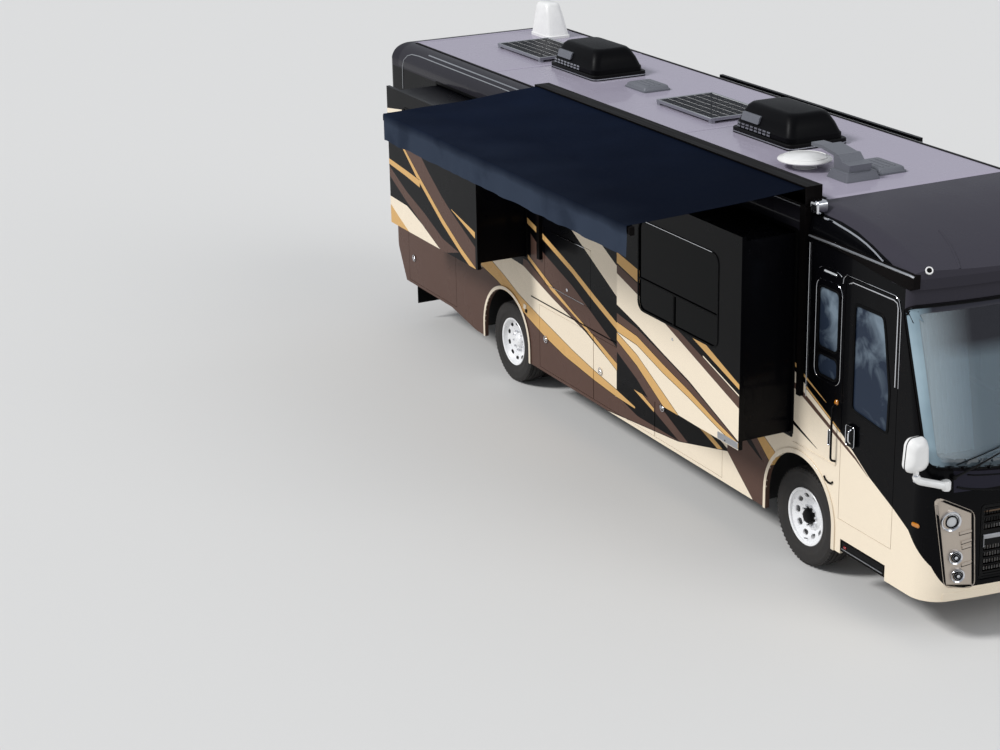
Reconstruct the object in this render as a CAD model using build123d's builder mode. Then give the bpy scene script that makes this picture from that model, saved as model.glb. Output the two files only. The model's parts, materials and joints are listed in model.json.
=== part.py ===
"""Class A diesel motorhome, parked with its slide-out rooms and its patio awning open.

Lengths are millimetres. While it is drawn, X points forward from the front axle, Y points to the
left of the coach and Z points up from the ground. Each finished piece is then moved so that the
origin lies on the ground, at the bottom centre of the whole outline.
"""

import os
from math import acos, cos, degrees, radians, sin

from build123d import *

os.makedirs("parts", exist_ok=True)

# Main sizes of the coach
wheelbase = 6150
rear_overhang = 3270
nose_x = 2150
body_width = 2550
roof_top = 3650
roof_radius = 250
roof_lip = 20
waist = 1250
skirt_bottom = 410
tail_bottom = 520
wall = 50
skirt = 35
cap_wall = 40
floor_top = 1270
floor_thick = 70

half_body = body_width / 2
rear_x = -(wheelbase + rear_overhang)
wall_top = roof_top - roof_radius - roof_lip
floor_bottom = floor_top - floor_thick

# Joints between the body's panels
rear_seam_x = -9100
front_seam_x = 1530
crown_seam_x = 0
crown_side_z = 3240
gap = 6
slide_gap = 15

# Chassis
rail_half = 430
rail_width = 80
rail_height = 240
rail_bottom = 720
rail_plate = 12
rail_front_x = 1450
rail_rear_x = -9050
rail_top = rail_bottom + rail_height

# Wheels and axles
tyre_radius = 495
tyre_width = 275
rim_radius = 290
front_track_half = half_body - 220
dual_outer_y = half_body - 200
dual_spacing = 310
kingpin_y = front_track_half - 175
kingpin_radius = 25
spindle_radius = 40
hub_bore_radius = 40.5
hub_z = tyre_radius
rear_axle_x = -wheelbase

# Wheel arches: centre along the coach, radius and top of the opening
front_arch_x = 25
front_arch_radius = 555
front_arch_top = 1165
rear_arch_x = -6155
rear_arch_radius = 575
rear_arch_top = 1150
arch_lip_width = 48
arch_lip_depth = 12

# Entry door
door_rear_x = 670
door_front_x = 1475
door_bottom = 755
door_top = 3120
door_radius = 90
door_thick = 45

# Slide-out rooms: reach beyond the wall, outer frame overlap and panel thickness
fascia_thick = 45
fascia_overlap = 60
room_wall = 40
room_tail = 125
right_front_reach = 620
right_rear_reach = 660
left_reach = 625

# Awning
awning_rear_x = -5280
awning_front_x = 50
awning_case_depth = 180
awning_case_z = 3630
awning_case_height = 185
awning_case_plate = 12
awning_back_y = 145 - half_body
lead_rail_y = -half_body - 1875
lead_rail_depth = 55
lead_rail_height = 80
lead_rail_z = 3620
arm_width = 42
arm_thick = 26
arm_inset = 420
arm_shoulder_y = 50 - half_body
arm_rail_y = lead_rail_y + 56
arm_open_angle = 76
arm_lower_z = 3648
arm_layer_gap = 9
arm_pin_radius = 9
arm_pin_gap = 0.4
arm_pin_head = 6

# Centre of the whole outline on the ground
tail_lamp_depth = 14
outline_rear_x = rear_x - tail_lamp_depth
outline_right_y = lead_rail_y - lead_rail_depth / 2
outline_left_y = half_body + left_reach
to_ground_centre = Location((-(nose_x + outline_rear_x) / 2, -(outline_right_y + outline_left_y) / 2, 0))


def save(piece, name):
    """Move a finished piece to the common origin, label it and write it."""
    placed = piece.part.moved(to_ground_centre)
    placed.label = name
    export_step(placed, f"parts/{name}.step")


def upright(y):
    """Plane that faces the side of the coach at the given Y: local x is X and local y is Z."""
    return Plane.XZ.offset(-y)


def across(x):
    """Plane across the coach at the given X: local x is Y and local y is Z."""
    return Plane.YZ.offset(x)


def level(z):
    """Plane at a height above the ground."""
    return Plane.XY.offset(z)


def rectangle_between(low_x, high_x, low_z, high_z, radius=0.0):
    """Sketch of an upright rectangle given by its limits, with round corners if a radius is given."""
    with BuildSketch() as panel:
        with Locations(((low_x + high_x) / 2, (low_z + high_z) / 2)):
            if radius > 0:
                RectangleRounded(high_x - low_x, high_z - low_z, radius)
            else:
                Rectangle(high_x - low_x, high_z - low_z)
    return panel.sketch


def arch_between(centre_x, radius, top):
    """Sketch of a wheel arch opening that runs down past the skirt's lower edge."""
    centre_z = top - radius
    low = skirt_bottom - 100
    with BuildSketch() as arch:
        with Locations((centre_x, centre_z)):
            Circle(radius)
        with Locations((centre_x, (centre_z + low) / 2)):
            Rectangle(2 * radius, centre_z - low)
    return arch.sketch


# Compartment doors in the skirts. side is -1 for the right and 1 for the left.
# name, side, rear x, front x, low z, high z
bay_doors = (
    ("bay_door_right_rear", -1, -8970, -7550, 555, 1215),
    ("bay_door_right_1", -1, -5310, -4020, 445, 1215),
    ("bay_door_right_2", -1, -4020, -2680, 445, 1215),
    ("bay_door_right_3", -1, -2680, -1340, 445, 1215),
    ("bay_door_left_rear", 1, -8970, -7550, 555, 1215),
    ("bay_door_left_1", 1, -5310, -3330, 445, 1215),
    ("bay_door_left_2", 1, -3330, -1340, 445, 1215),
)

# Windows in the fixed walls. side, rear x, front x, low z, high z, corner radius
wall_windows = (
    (-1, 255, 570, 2350, 2930, 40),
    (-1, 255, 570, 2080, 2280, 60),
    (-1, -4950, -4050, 2420, 3080, 80),
    (1, 450, 1380, 1980, 2930, 90),
    (1, -1750, -550, 2150, 3000, 80),
    (1, -8500, -7300, 2300, 3000, 80),
)

# Slide-out rooms. name, side, rear x, front x, low z, high z, reach,
# window rear x, front x, low z, high z
rooms = (
    ("slide_right_front", -1, -2410, -100, 1290, 3385, right_front_reach, -1970, -500, 2190, 3110),
    ("slide_right_rear", -1, -8000, -5570, 1660, 3385, right_rear_reach, -7550, -6150, 2760, 3200),
    ("slide_left", 1, -6400, -2400, 1660, 3385, left_reach, -5600, -3900, 2350, 3100),
)

# Lid over the outdoor screen, hinged along its top edge, and the recess behind it
hatch_rear_x = -5160
hatch_front_x = -4080
hatch_low = 1500
hatch_high = 2170
recess_depth = 160
recess_plate = 15
screen_margin = 60
screen_thick = 55

# Basement trays between the axles, and the plates that close the wheel bays
tray_inner_y = rail_half + 70
tray_outer_y = half_body - skirt - gap
tray_plate = 22
bulkheads = (-5330, -4020, -2680, -1330, -680)
tray_bottom = 430


def hatch_outline(grow=0.0):
    """Rectangle of the screen hatch, grown all round to give its opening."""
    return rectangle_between(hatch_rear_x - grow, hatch_front_x + grow, hatch_low - grow, hatch_high + grow)


def door_outline(grow=0.0):
    """Entry door with round top corners, grown all round to give its opening."""
    with BuildSketch() as outline:
        add(rectangle_between(door_rear_x - grow, door_front_x + grow, door_bottom - grow, door_top + grow))
        fillet(outline.vertices().group_by(Axis.Y)[-1], door_radius + grow)
    return outline.sketch


# Lower side panels with the wheel arches, the compartment openings and the fender lips
skirt_outline = (
    (rear_seam_x, waist),
    (front_seam_x, waist),
    (front_seam_x, skirt_bottom),
    (-7000, skirt_bottom),
    (-7700, tail_bottom),
    (-9070, tail_bottom),
    (rear_seam_x, tail_bottom + 56),
)
step_rear_x = 720
step_front_x = 1400
step_low = 440
step_high = 555

with BuildPart() as side_skirts:
    for side in (-1, 1):
        with BuildSketch(upright(side * half_body)):
            with BuildLine():
                Polyline(*skirt_outline, close=True)
            make_face()
            add(arch_between(front_arch_x, front_arch_radius, front_arch_top), mode=Mode.SUBTRACT)
            add(arch_between(rear_arch_x, rear_arch_radius, rear_arch_top), mode=Mode.SUBTRACT)
            for name, door_side, rear, front, low, high in bay_doors:
                if door_side == side:
                    add(rectangle_between(rear, front, low, high), mode=Mode.SUBTRACT)
            if side < 0:
                add(door_outline(gap), mode=Mode.SUBTRACT)
                add(
                    rectangle_between(step_rear_x - gap, step_front_x + gap, step_low - 50, step_high + gap),
                    mode=Mode.SUBTRACT,
                )
        extrude(amount=side * skirt)
        for centre_x, radius, top in (
            (front_arch_x, front_arch_radius, front_arch_top),
            (rear_arch_x, rear_arch_radius, rear_arch_top),
        ):
            with BuildSketch(upright(side * half_body)):
                add(arch_between(centre_x, radius + arch_lip_width, top + arch_lip_width))
                add(arch_between(centre_x, radius, top), mode=Mode.SUBTRACT)
                with Locations((centre_x, skirt_bottom - radius)):
                    Rectangle(4 * radius, 2 * radius, mode=Mode.SUBTRACT)
            extrude(amount=-side * arch_lip_depth)
save(side_skirts, "side_skirts")


def side_wall(side):
    """Upper side wall with its openings. The front length is lower, under the crown's side."""
    with BuildPart() as panel:
        with BuildSketch(upright(side * half_body)):
            with BuildLine():
                Polyline(
                    (rear_seam_x, waist),
                    (front_seam_x, waist),
                    (front_seam_x, crown_side_z),
                    (crown_seam_x, crown_side_z),
                    (crown_seam_x, wall_top),
                    (rear_seam_x, wall_top),
                    close=True,
                )
            make_face()
            for window_side, rear, front, low, high, radius in wall_windows:
                if window_side == side:
                    add(rectangle_between(rear, front, low, high, radius), mode=Mode.SUBTRACT)
            for name, room_side, rear, front, low, high, reach, *window in rooms:
                if room_side == side:
                    inset = fascia_overlap - slide_gap
                    add(
                        rectangle_between(rear + inset, front - inset, low + inset, high - inset),
                        mode=Mode.SUBTRACT,
                    )
            if side < 0:
                add(door_outline(gap), mode=Mode.SUBTRACT)
                add(hatch_outline(gap), mode=Mode.SUBTRACT)
        extrude(amount=side * wall)
    return panel


with BuildPart() as wall_right:
    add(side_wall(-1).part)
    recess_y = -half_body + wall
    with BuildSketch(upright(recess_y)):
        add(hatch_outline(gap + recess_plate))
    extrude(amount=-recess_depth)
    with BuildSketch(upright(recess_y)):
        add(hatch_outline(gap))
    extrude(amount=recess_plate - recess_depth, mode=Mode.SUBTRACT)
    with BuildSketch(upright(recess_y + recess_depth - recess_plate - screen_thick)):
        add(hatch_outline(-screen_margin))
    extrude(amount=-screen_thick)
save(wall_right, "wall_right")
wall_left = side_wall(1)
save(wall_left, "wall_left")

# Glass of the fixed windows, seated at the middle of the wall
pane = 8
with BuildPart() as side_windows:
    for side, rear, front, low, high, radius in wall_windows:
        with BuildSketch(upright(side * (half_body - 12))):
            add(rectangle_between(rear, front, low, high, radius))
        extrude(amount=side * pane)
save(side_windows, "side_windows")


def body_section(top, radius, inset=0.0, low=crown_side_z, x=0.0):
    """Cross-section of the upper body at one x: straight sides, round shoulders and a level top."""
    half = half_body - inset
    top = top - inset
    radius = radius - inset
    with BuildSketch(across(x)) as section:
        with BuildLine():
            Line((-half, low), (half, low))
            Line((half, low), (half, top - radius))
            RadiusArc((half, top - radius), (half - radius, top), -radius)
            Line((half - radius, top), (-half + radius, top))
            RadiusArc((-half + radius, top), (-half, top - radius), -radius)
            Line((-half, top - radius), (-half, low))
        make_face()
    return section.sketch


# Roof shell between the rear cap and the crown
with BuildPart() as roof:
    extrude(body_section(roof_top, roof_radius, 0, wall_top, rear_seam_x), amount=crown_seam_x - rear_seam_x)
    extrude(
        body_section(roof_top, roof_radius, wall, wall_top - 10, rear_seam_x),
        amount=crown_seam_x - rear_seam_x,
        mode=Mode.SUBTRACT,
    )
save(roof, "roof")

# Nose sections below and beside the windshield. height, foremost x, corner radius
nose_sag = 155
nose_sections = (
    (skirt_bottom, nose_x - 10, 280),
    (560, nose_x, 280),
    (1340, nose_x - 20, 240),
    (1640, nose_x - 45, 200),
    (3060, 1730, 55),
)
header_x = 1745
crown_ledge = 25
header_low = nose_sections[-1][0]
crown_front_x = 1790
crown_corner = 130

# Crown sections from the roof forward. x, top, shoulder radius
crown_sections = (
    (crown_seam_x, roof_top, roof_radius),
    (900, 3578, 225),
    (crown_front_x, 3375, 90),
)


def nose_outline(z, front, corner, inset=0.0, back=front_seam_x):
    """Plan outline of the nose at one height: bowed front, round corners and straight sides."""
    half = half_body - inset
    front = front - inset
    with BuildSketch(level(z)) as outline:
        with BuildLine():
            ThreePointArc((front - nose_sag, -half), (front, 0), (front - nose_sag, half))
            Polyline((front - nose_sag, half), (back, half), (back, -half), (front - nose_sag, -half))
        make_face()
        fillet(outline.vertices().group_by(Axis.X)[-1], corner - inset)
    return outline.sketch


# Windshield opening: height of its lower corners, of the dip between them and of its top
windshield_low = 1760
windshield_dip = 1665
windshield_high = 3030


def windshield_outline(inset=0.0):
    """Front view of the windshield opening, lower in the middle than at its sides."""
    low_half = half_body - 85
    high_half = half_body - 60
    with BuildSketch(across(front_seam_x - 60)) as outline:
        with BuildLine():
            ThreePointArc((-low_half, windshield_low), (0, windshield_dip), (low_half, windshield_low))
            Polyline(
                (low_half, windshield_low),
                (high_half, windshield_high),
                (-high_half, windshield_high),
                (-low_half, windshield_low),
            )
        make_face()
        fillet(outline.vertices(), 70)
        if inset > 0:
            offset(amount=-inset, mode=Mode.REPLACE)
    return outline.sketch


def nose_solid(inset=0.0):
    """Ruled loft through the nose sections, moved in by the inset."""
    with BuildPart() as solid:
        back = front_seam_x - 3 * inset
        loft([nose_outline(z, x, corner, inset, back) for z, x, corner in nose_sections], ruled=True)
    return solid.part


def crown_solid(inset=0.0, low=crown_side_z):
    """Crown of the front cap: a loft from the roof's section, cut to the nose's plan outline."""
    with BuildPart() as solid:
        loft([body_section(top, radius, inset, low, x) for x, top, radius in crown_sections])
        extrude(
            nose_outline(low - 50, crown_front_x, crown_corner, inset, crown_seam_x - 50),
            amount=roof_top - low + 100,
            mode=Mode.INTERSECT,
        )
    return solid.part


# Openings in the face of the nose. Lamp opening: distance in from the body's side, height
lamp_outline = ((100, 1405), (430, 1235), (460, 535), (200, 575))
grille_half = half_body - 505
grille_low = 575
grille_high = 1310

with BuildPart() as front_cap:
    add(nose_solid())
    add(crown_solid())
    extrude(nose_outline(header_low, header_x, 70), amount=crown_side_z - header_low)
    add(nose_solid(cap_wall), mode=Mode.SUBTRACT)
    add(crown_solid(cap_wall, crown_side_z + crown_ledge), mode=Mode.SUBTRACT)
    extrude(
        nose_outline(header_low - 60, header_x, 70, cap_wall, front_seam_x - 100),
        amount=crown_side_z + crown_ledge - header_low + 70,
        mode=Mode.SUBTRACT,
    )
    with BuildSketch(level(crown_side_z - 50)):
        with Locations(((crown_seam_x + front_seam_x) / 2, 0)):
            Rectangle(front_seam_x - crown_seam_x + 100, body_width - 2 * cap_wall)
    extrude(amount=cap_wall + 60, mode=Mode.SUBTRACT)
    extrude(windshield_outline(), amount=900, mode=Mode.SUBTRACT)
    for side in (-1, 1):
        with BuildSketch(across(front_seam_x + 300)):
            with BuildLine():
                Polyline(*[(side * (half_body - inset), z) for inset, z in lamp_outline], close=True)
            make_face()
        extrude(amount=600, mode=Mode.SUBTRACT)
    with BuildSketch(across(front_seam_x + 300)):
        add(rectangle_between(-grille_half, grille_half, grille_low, grille_high, 40))
    extrude(amount=600, mode=Mode.SUBTRACT)
save(front_cap, "front_cap")

glass = 12
with BuildPart() as windshield:
    add(nose_solid())
    add(nose_solid(glass), mode=Mode.SUBTRACT)
    extrude(windshield_outline(gap), amount=900, mode=Mode.INTERSECT)
save(windshield, "windshield")

# Rear cap. The side profile sweeps in at its foot and leans in above the belt.
tail_sweep_z = 1170
tail_belt_z = 2300
tail_lean = 110
tail_corner = 150
tail_crown = 150
tail_bulge = tail_crown * (1 - cos(radians(45)))
louvre_count = 7
louvre_pitch = 62
louvre_height = 26
louvre_width = body_width - 1050
louvre_low = 1360


def tail_solid(inset=0.0):
    """Solid of the tail: the side profile cut to the body's cross-section and round plan corners."""
    top = roof_top - inset
    back = rear_x + inset
    with BuildPart() as solid:
        with BuildSketch(upright(half_body - inset)):
            with BuildLine():
                Polyline(
                    (rear_seam_x + inset, top),
                    (rear_seam_x + inset, tail_bottom + 56 - inset),
                    (back, tail_sweep_z - inset),
                    (back, tail_belt_z),
                    (back + tail_lean, top - tail_crown),
                )
                ThreePointArc(
                    (back + tail_lean, top - tail_crown),
                    (back + tail_lean + tail_bulge, top - tail_bulge),
                    (back + tail_lean + tail_crown, top),
                )
                Line((back + tail_lean + tail_crown, top), (rear_seam_x + inset, top))
            make_face()
        extrude(amount=2 * (half_body - inset))
        extrude(
            body_section(roof_top, roof_radius, inset, skirt_bottom - inset, rear_x),
            amount=rear_seam_x - rear_x + 2 * inset,
            mode=Mode.INTERSECT,
        )
        with BuildSketch(level(skirt_bottom - 100)) as plan:
            with Locations(((rear_x + inset + rear_seam_x + 300) / 2, 0)):
                Rectangle(rear_seam_x + 300 - rear_x - inset, 2 * (half_body - inset))
            fillet(plan.vertices().group_by(Axis.X)[0], tail_corner - inset)
        extrude(amount=roof_top, mode=Mode.INTERSECT)
    return solid.part


with BuildPart() as rear_cap:
    add(tail_solid())
    add(tail_solid(cap_wall), mode=Mode.SUBTRACT)
    with BuildSketch(across(rear_x - 50)):
        for row in range(louvre_count):
            with Locations((0, louvre_low + row * louvre_pitch)):
                SlotOverall(louvre_width, louvre_height)
    extrude(amount=200, mode=Mode.SUBTRACT)
save(rear_cap, "rear_cap")

# Chassis: channel rails and cross-members, with posts up to the floor
crossmember_x = (1380, 650, -1200, -2600, -4000, -5300, -7300, -9000)
receiver_outer = 63.5
receiver_inner = 51.2
receiver_length = 300
receiver_z = 520
receiver_pin_radius = 8
receiver_pin_inset = 70
receiver_drop = 60
receiver_hanger = 240
receiver_mouth_x = rear_x + 20

with BuildPart() as chassis_frame:
    for side in (-1, 1):
        with BuildSketch(across(rail_rear_x)):
            centre_y = side * (rail_half - rail_width / 2)
            with Locations((centre_y, rail_bottom + rail_height / 2)):
                Rectangle(rail_width, rail_height)
            with Locations((centre_y - side * rail_plate, rail_bottom + rail_height / 2)):
                Rectangle(rail_width, rail_height - 2 * rail_plate, mode=Mode.SUBTRACT)
        extrude(amount=rail_front_x - rail_rear_x)
    with BuildSketch(level(rail_bottom + rail_plate)):
        with Locations(*[(x, 0) for x in crossmember_x]):
            Rectangle(rail_width, 2 * (rail_half - rail_plate))
    extrude(amount=rail_height / 2)
    with BuildSketch(level(rail_top)):
        for x in crossmember_x:
            with Locations((x, rail_half - rail_width / 2), (x, rail_width / 2 - rail_half)):
                Rectangle(rail_width, rail_width)
    extrude(amount=floor_bottom - rail_top)
save(chassis_frame, "chassis_frame")

# Hitch receiver: a square tube with a cross pin hole, hung under the last cross-member
with BuildPart() as hitch_receiver:
    with BuildSketch(level(receiver_z - receiver_drop)):
        with Locations((crossmember_x[-1], 0)):
            Rectangle(rail_width, receiver_hanger)
    extrude(amount=rail_bottom + rail_plate - receiver_z + receiver_drop)
    with BuildSketch(across(receiver_mouth_x)):
        with Locations((0, receiver_z)):
            Rectangle(receiver_outer, receiver_outer)
    extrude(amount=crossmember_x[-1] - receiver_mouth_x)
    with BuildSketch(across(receiver_mouth_x)):
        with Locations((0, receiver_z)):
            Rectangle(receiver_inner, receiver_inner)
    extrude(amount=receiver_length, mode=Mode.SUBTRACT)
    with BuildSketch(upright(receiver_outer)):
        with Locations((receiver_mouth_x + receiver_pin_inset, receiver_z)):
            Circle(receiver_pin_radius)
    extrude(amount=2 * receiver_outer, mode=Mode.SUBTRACT)
save(hitch_receiver, "hitch_receiver")

# Rear diesel engine and gearbox as one plain block between the rails
engine_width = 2 * (rail_half - rail_width) - 40
engine_height = 900
engine_rear_x = crossmember_x[-1] + rail_width / 2
engine_length = crossmember_x[-2] - rail_width / 2 - engine_rear_x
with BuildPart() as engine_block:
    with BuildSketch(level(floor_bottom - engine_height - 20)):
        with Locations((engine_rear_x + engine_length / 2, 0)):
            Rectangle(engine_length, engine_width)
    extrude(amount=engine_height)
save(engine_block, "engine_block")

# Front axle: dropped beam between the kingpin eyes, with air springs up to the rails
beam_width = 100
beam_height = 110
beam_drop = 110
eye_radius = 62
eye_height = 110
spring_radius = 105
spring_x = 210
spring_arm_width = 110
spring_arm_height = 70
front_spring_y = 375
with BuildPart() as front_axle:
    with BuildSketch(upright(0)):
        with Locations((0, hub_z - beam_drop)):
            Rectangle(beam_width, beam_height)
    extrude(amount=kingpin_y - 130, both=True)
    for side in (-1, 1):
        with BuildSketch(level(hub_z - beam_drop - beam_height / 2)):
            with Locations((0, side * (kingpin_y - 110))):
                Rectangle(beam_width, 90)
        extrude(amount=beam_drop + beam_height / 2 + eye_height / 2)
        with BuildSketch(level(hub_z - eye_height / 2)):
            with Locations((0, side * (kingpin_y - 60))):
                Rectangle(beam_width, 120)
            with Locations((0, side * kingpin_y)):
                Circle(eye_radius)
                Circle(kingpin_radius + arm_pin_gap, mode=Mode.SUBTRACT)
        extrude(amount=eye_height)
        with BuildSketch(level(hub_z - beam_drop + beam_height / 2)):
            with Locations((0, side * front_spring_y)):
                Rectangle(2 * spring_x + 2 * spring_radius, spring_arm_width)
        extrude(amount=spring_arm_height)
        with BuildSketch(level(hub_z - beam_drop + beam_height / 2 + spring_arm_height)):
            with Locations((-spring_x, side * front_spring_y), (spring_x, side * front_spring_y)):
                Circle(spring_radius)
        extrude(amount=rail_bottom - hub_z + beam_drop - beam_height / 2 - spring_arm_height)
save(front_axle, "front_axle")

# Rear drive axle: tube, differential, spindles and the air springs on their arms
axle_tube_radius = 78
axle_tube_half = 560
differential_radius = 215
rear_spindle_end = dual_outer_y + 60
rear_spring_y = 440
rear_spring_x = 480
with BuildPart() as rear_axle:
    with Locations((rear_axle_x, 0, hub_z)):
        Cylinder(axle_tube_radius, 2 * axle_tube_half, rotation=(90, 0, 0))
        Cylinder(spindle_radius, 2 * rear_spindle_end, rotation=(90, 0, 0))
        Sphere(differential_radius)
    for side in (-1, 1):
        with BuildSketch(level(hub_z - spring_arm_height / 2)):
            with Locations((rear_axle_x, side * rear_spring_y)):
                Rectangle(2 * rear_spring_x + 2 * spring_radius, spring_arm_width)
        extrude(amount=spring_arm_height)
        with BuildSketch(level(hub_z + spring_arm_height / 2)):
            with Locations(
                (rear_axle_x - rear_spring_x, side * rear_spring_y),
                (rear_axle_x + rear_spring_x, side * rear_spring_y),
            ):
                Circle(spring_radius)
        extrude(amount=rail_bottom - hub_z - spring_arm_height / 2)
save(rear_axle, "rear_axle")

# Steering knuckles: pin, upper and lower ears and the wheel spindle
ear_height = 40
ear_gap = 1
ear_radius = 60
spindle_end = front_track_half + 60
for side, name in ((-1, "knuckle_right"), (1, "knuckle_left")):
    with BuildPart() as knuckle:
        ear_low = hub_z - eye_height / 2 - ear_gap - ear_height
        ear_high = hub_z + eye_height / 2 + ear_gap
        with BuildSketch(level(ear_low)):
            with Locations((0, side * kingpin_y)):
                Circle(kingpin_radius)
        extrude(amount=ear_high + ear_height - ear_low)
        for low in (ear_low, ear_high):
            with BuildSketch(level(low)):
                with Locations((0, side * kingpin_y)):
                    Circle(ear_radius)
                with Locations((0, side * (kingpin_y + 45))):
                    Rectangle(2 * ear_radius, 90)
            extrude(amount=ear_height)
        with BuildSketch(level(ear_low)):
            with Locations((0, side * (kingpin_y + 80))):
                Rectangle(2 * ear_radius, 30)
        extrude(amount=ear_high + ear_height - ear_low)
        with BuildSketch(upright(side * (kingpin_y + 90))):
            with Locations((0, hub_z)):
                Circle(spindle_radius)
        extrude(amount=-side * (spindle_end - kingpin_y - 90))
    save(knuckle, name)

# Wheels. The section of each is turned about the axle line.
hand_hole_count = 10
hand_hole_length = 74
hand_hole_width = 46
hand_hole_circle = 205


def tyre_ring(centre_y, x):
    """Tyre as a turned ring with round shoulders, bulged walls and two grooves in its tread."""
    half = tyre_width / 2
    with BuildPart() as ring:
        with BuildSketch(Plane((x, centre_y, hub_z), x_dir=(0, 1, 0), z_dir=(1, 0, 0))) as section:
            with BuildLine():
                Line((-half + 22, rim_radius), (half - 22, rim_radius))
                ThreePointArc((half - 22, rim_radius), (half, rim_radius + 95), (half - 14, tyre_radius - 22))
                ThreePointArc((half - 14, tyre_radius - 22), (0, tyre_radius), (-half + 14, tyre_radius - 22))
                ThreePointArc(
                    (-half + 14, tyre_radius - 22),
                    (-half, rim_radius + 95),
                    (-half + 22, rim_radius),
                )
            make_face()
        revolve(axis=Axis((x, centre_y, hub_z), (0, 1, 0)))
    return ring.part


def disc_wheel(centre_y, x, side):
    """Steel disc wheel: dished disc with oval hand holes, rim barrel, flanges and hub."""
    half = tyre_width / 2
    face = side * (half - 40)
    with BuildPart() as wheel:
        with BuildSketch(Plane((x, centre_y, hub_z), x_dir=(0, 1, 0), z_dir=(1, 0, 0))):
            with BuildLine():
                Polyline(
                    (-half + 24, rim_radius),
                    (-half + 24, rim_radius - 22),
                    (half - 24, rim_radius - 22),
                    (half - 24, rim_radius),
                    close=True,
                )
            make_face()
            with BuildLine():
                Polyline(
                    (face, rim_radius - 20),
                    (face - side * 18, rim_radius - 20),
                    (face - side * 78, 150),
                    (face - side * 60, 110),
                    (face - side * 60, hub_bore_radius),
                    (face - side * 35, hub_bore_radius),
                    (face - side * 35, 115),
                    (face - side * 58, 152),
                    close=True,
                )
            make_face()
        revolve(axis=Axis((x, centre_y, hub_z), (0, 1, 0)))
        with BuildSketch(upright(centre_y - side * half)) as holes:
            with Locations((x, hub_z)):
                with PolarLocations(hand_hole_circle, hand_hole_count):
                    SlotOverall(hand_hole_length, hand_hole_width, rotation=90)
        extrude(to_extrude=holes.sketch, amount=-side * 2 * half, mode=Mode.SUBTRACT)
    return wheel.part


for side, word in ((-1, "right"), (1, "left")):
    with BuildPart() as front_tyre:
        add(tyre_ring(side * front_track_half, 0))
    save(front_tyre, f"tyre_front_{word}")
    with BuildPart() as front_rim:
        add(disc_wheel(side * front_track_half, 0, side))
    save(front_rim, f"rim_front_{word}")
    with BuildPart() as rear_tyres:
        add(tyre_ring(side * dual_outer_y, rear_axle_x))
        add(tyre_ring(side * (dual_outer_y - dual_spacing), rear_axle_x))
    save(rear_tyres, f"tyres_rear_{word}")
    with BuildPart() as rear_rims:
        add(disc_wheel(side * dual_outer_y, rear_axle_x, -side))
        add(disc_wheel(side * (dual_outer_y - dual_spacing), rear_axle_x, side))
    save(rear_rims, f"rims_rear_{word}")

# Floor in two layers, with the stairwell at the entry door and the hangers of the entry step
stair_inner_y = 585 - half_body
stair_middle_y = 315 - half_body
stair_outer_y = 53 - half_body
stair_low = 770
stair_middle = 1020
stair_plate = 25
hanger_plate = 12
hanger_inner_y = 515 - half_body
skirt_inner_y = half_body - skirt
wall_inner_y = half_body - wall

with BuildPart() as floor:
    for low, height, half in (
        (floor_bottom, waist - floor_bottom, skirt_inner_y),
        (waist, floor_top - waist, wall_inner_y),
    ):
        with BuildSketch(level(low)):
            with Locations(((rear_seam_x + front_seam_x) / 2, 0)):
                Rectangle(front_seam_x - rear_seam_x, 2 * half)
        extrude(amount=height)
    extrude(nose_outline(floor_bottom, nose_x - 18, 240, cap_wall + 4), amount=floor_thick)
    with BuildSketch(level(floor_bottom)):
        with Locations(((door_rear_x + door_front_x) / 2, (stair_inner_y - half_body) / 2)):
            Rectangle(door_front_x - door_rear_x, half_body + stair_inner_y)
    extrude(amount=floor_thick, mode=Mode.SUBTRACT)
    with BuildSketch(across(door_rear_x)):
        with BuildLine():
            Polyline(
                (stair_outer_y, stair_low),
                (stair_middle_y, stair_low),
                (stair_middle_y, stair_middle),
                (stair_inner_y, stair_middle),
                (stair_inner_y, floor_top),
                (stair_inner_y + stair_plate, floor_top),
                (stair_inner_y + stair_plate, stair_middle - stair_plate),
                (stair_middle_y + stair_plate, stair_middle - stair_plate),
                (stair_middle_y + stair_plate, stair_low - stair_plate),
                (stair_outer_y, stair_low - stair_plate),
                close=True,
            )
        make_face()
    extrude(amount=door_front_x - door_rear_x)
    for x in (door_rear_x - stair_plate, door_front_x):
        with BuildSketch(across(x)):
            with BuildLine():
                Polyline(
                    (stair_outer_y, stair_low - stair_plate),
                    (stair_outer_y, floor_bottom),
                    (stair_inner_y + stair_plate, floor_bottom),
                    (stair_inner_y + stair_plate, stair_middle - stair_plate),
                    (stair_middle_y + stair_plate, stair_low - stair_plate),
                    close=True,
                )
            make_face()
        extrude(amount=stair_plate)
    for x in (step_rear_x - 8 - hanger_plate, step_front_x + 8):
        with BuildSketch(across(x)):
            with Locations(((stair_outer_y + hanger_inner_y) / 2, (step_low + stair_low - stair_plate) / 2)):
                Rectangle(hanger_inner_y - stair_outer_y, stair_low - stair_plate - step_low)
        extrude(amount=hanger_plate)
save(floor, "floor")

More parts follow.
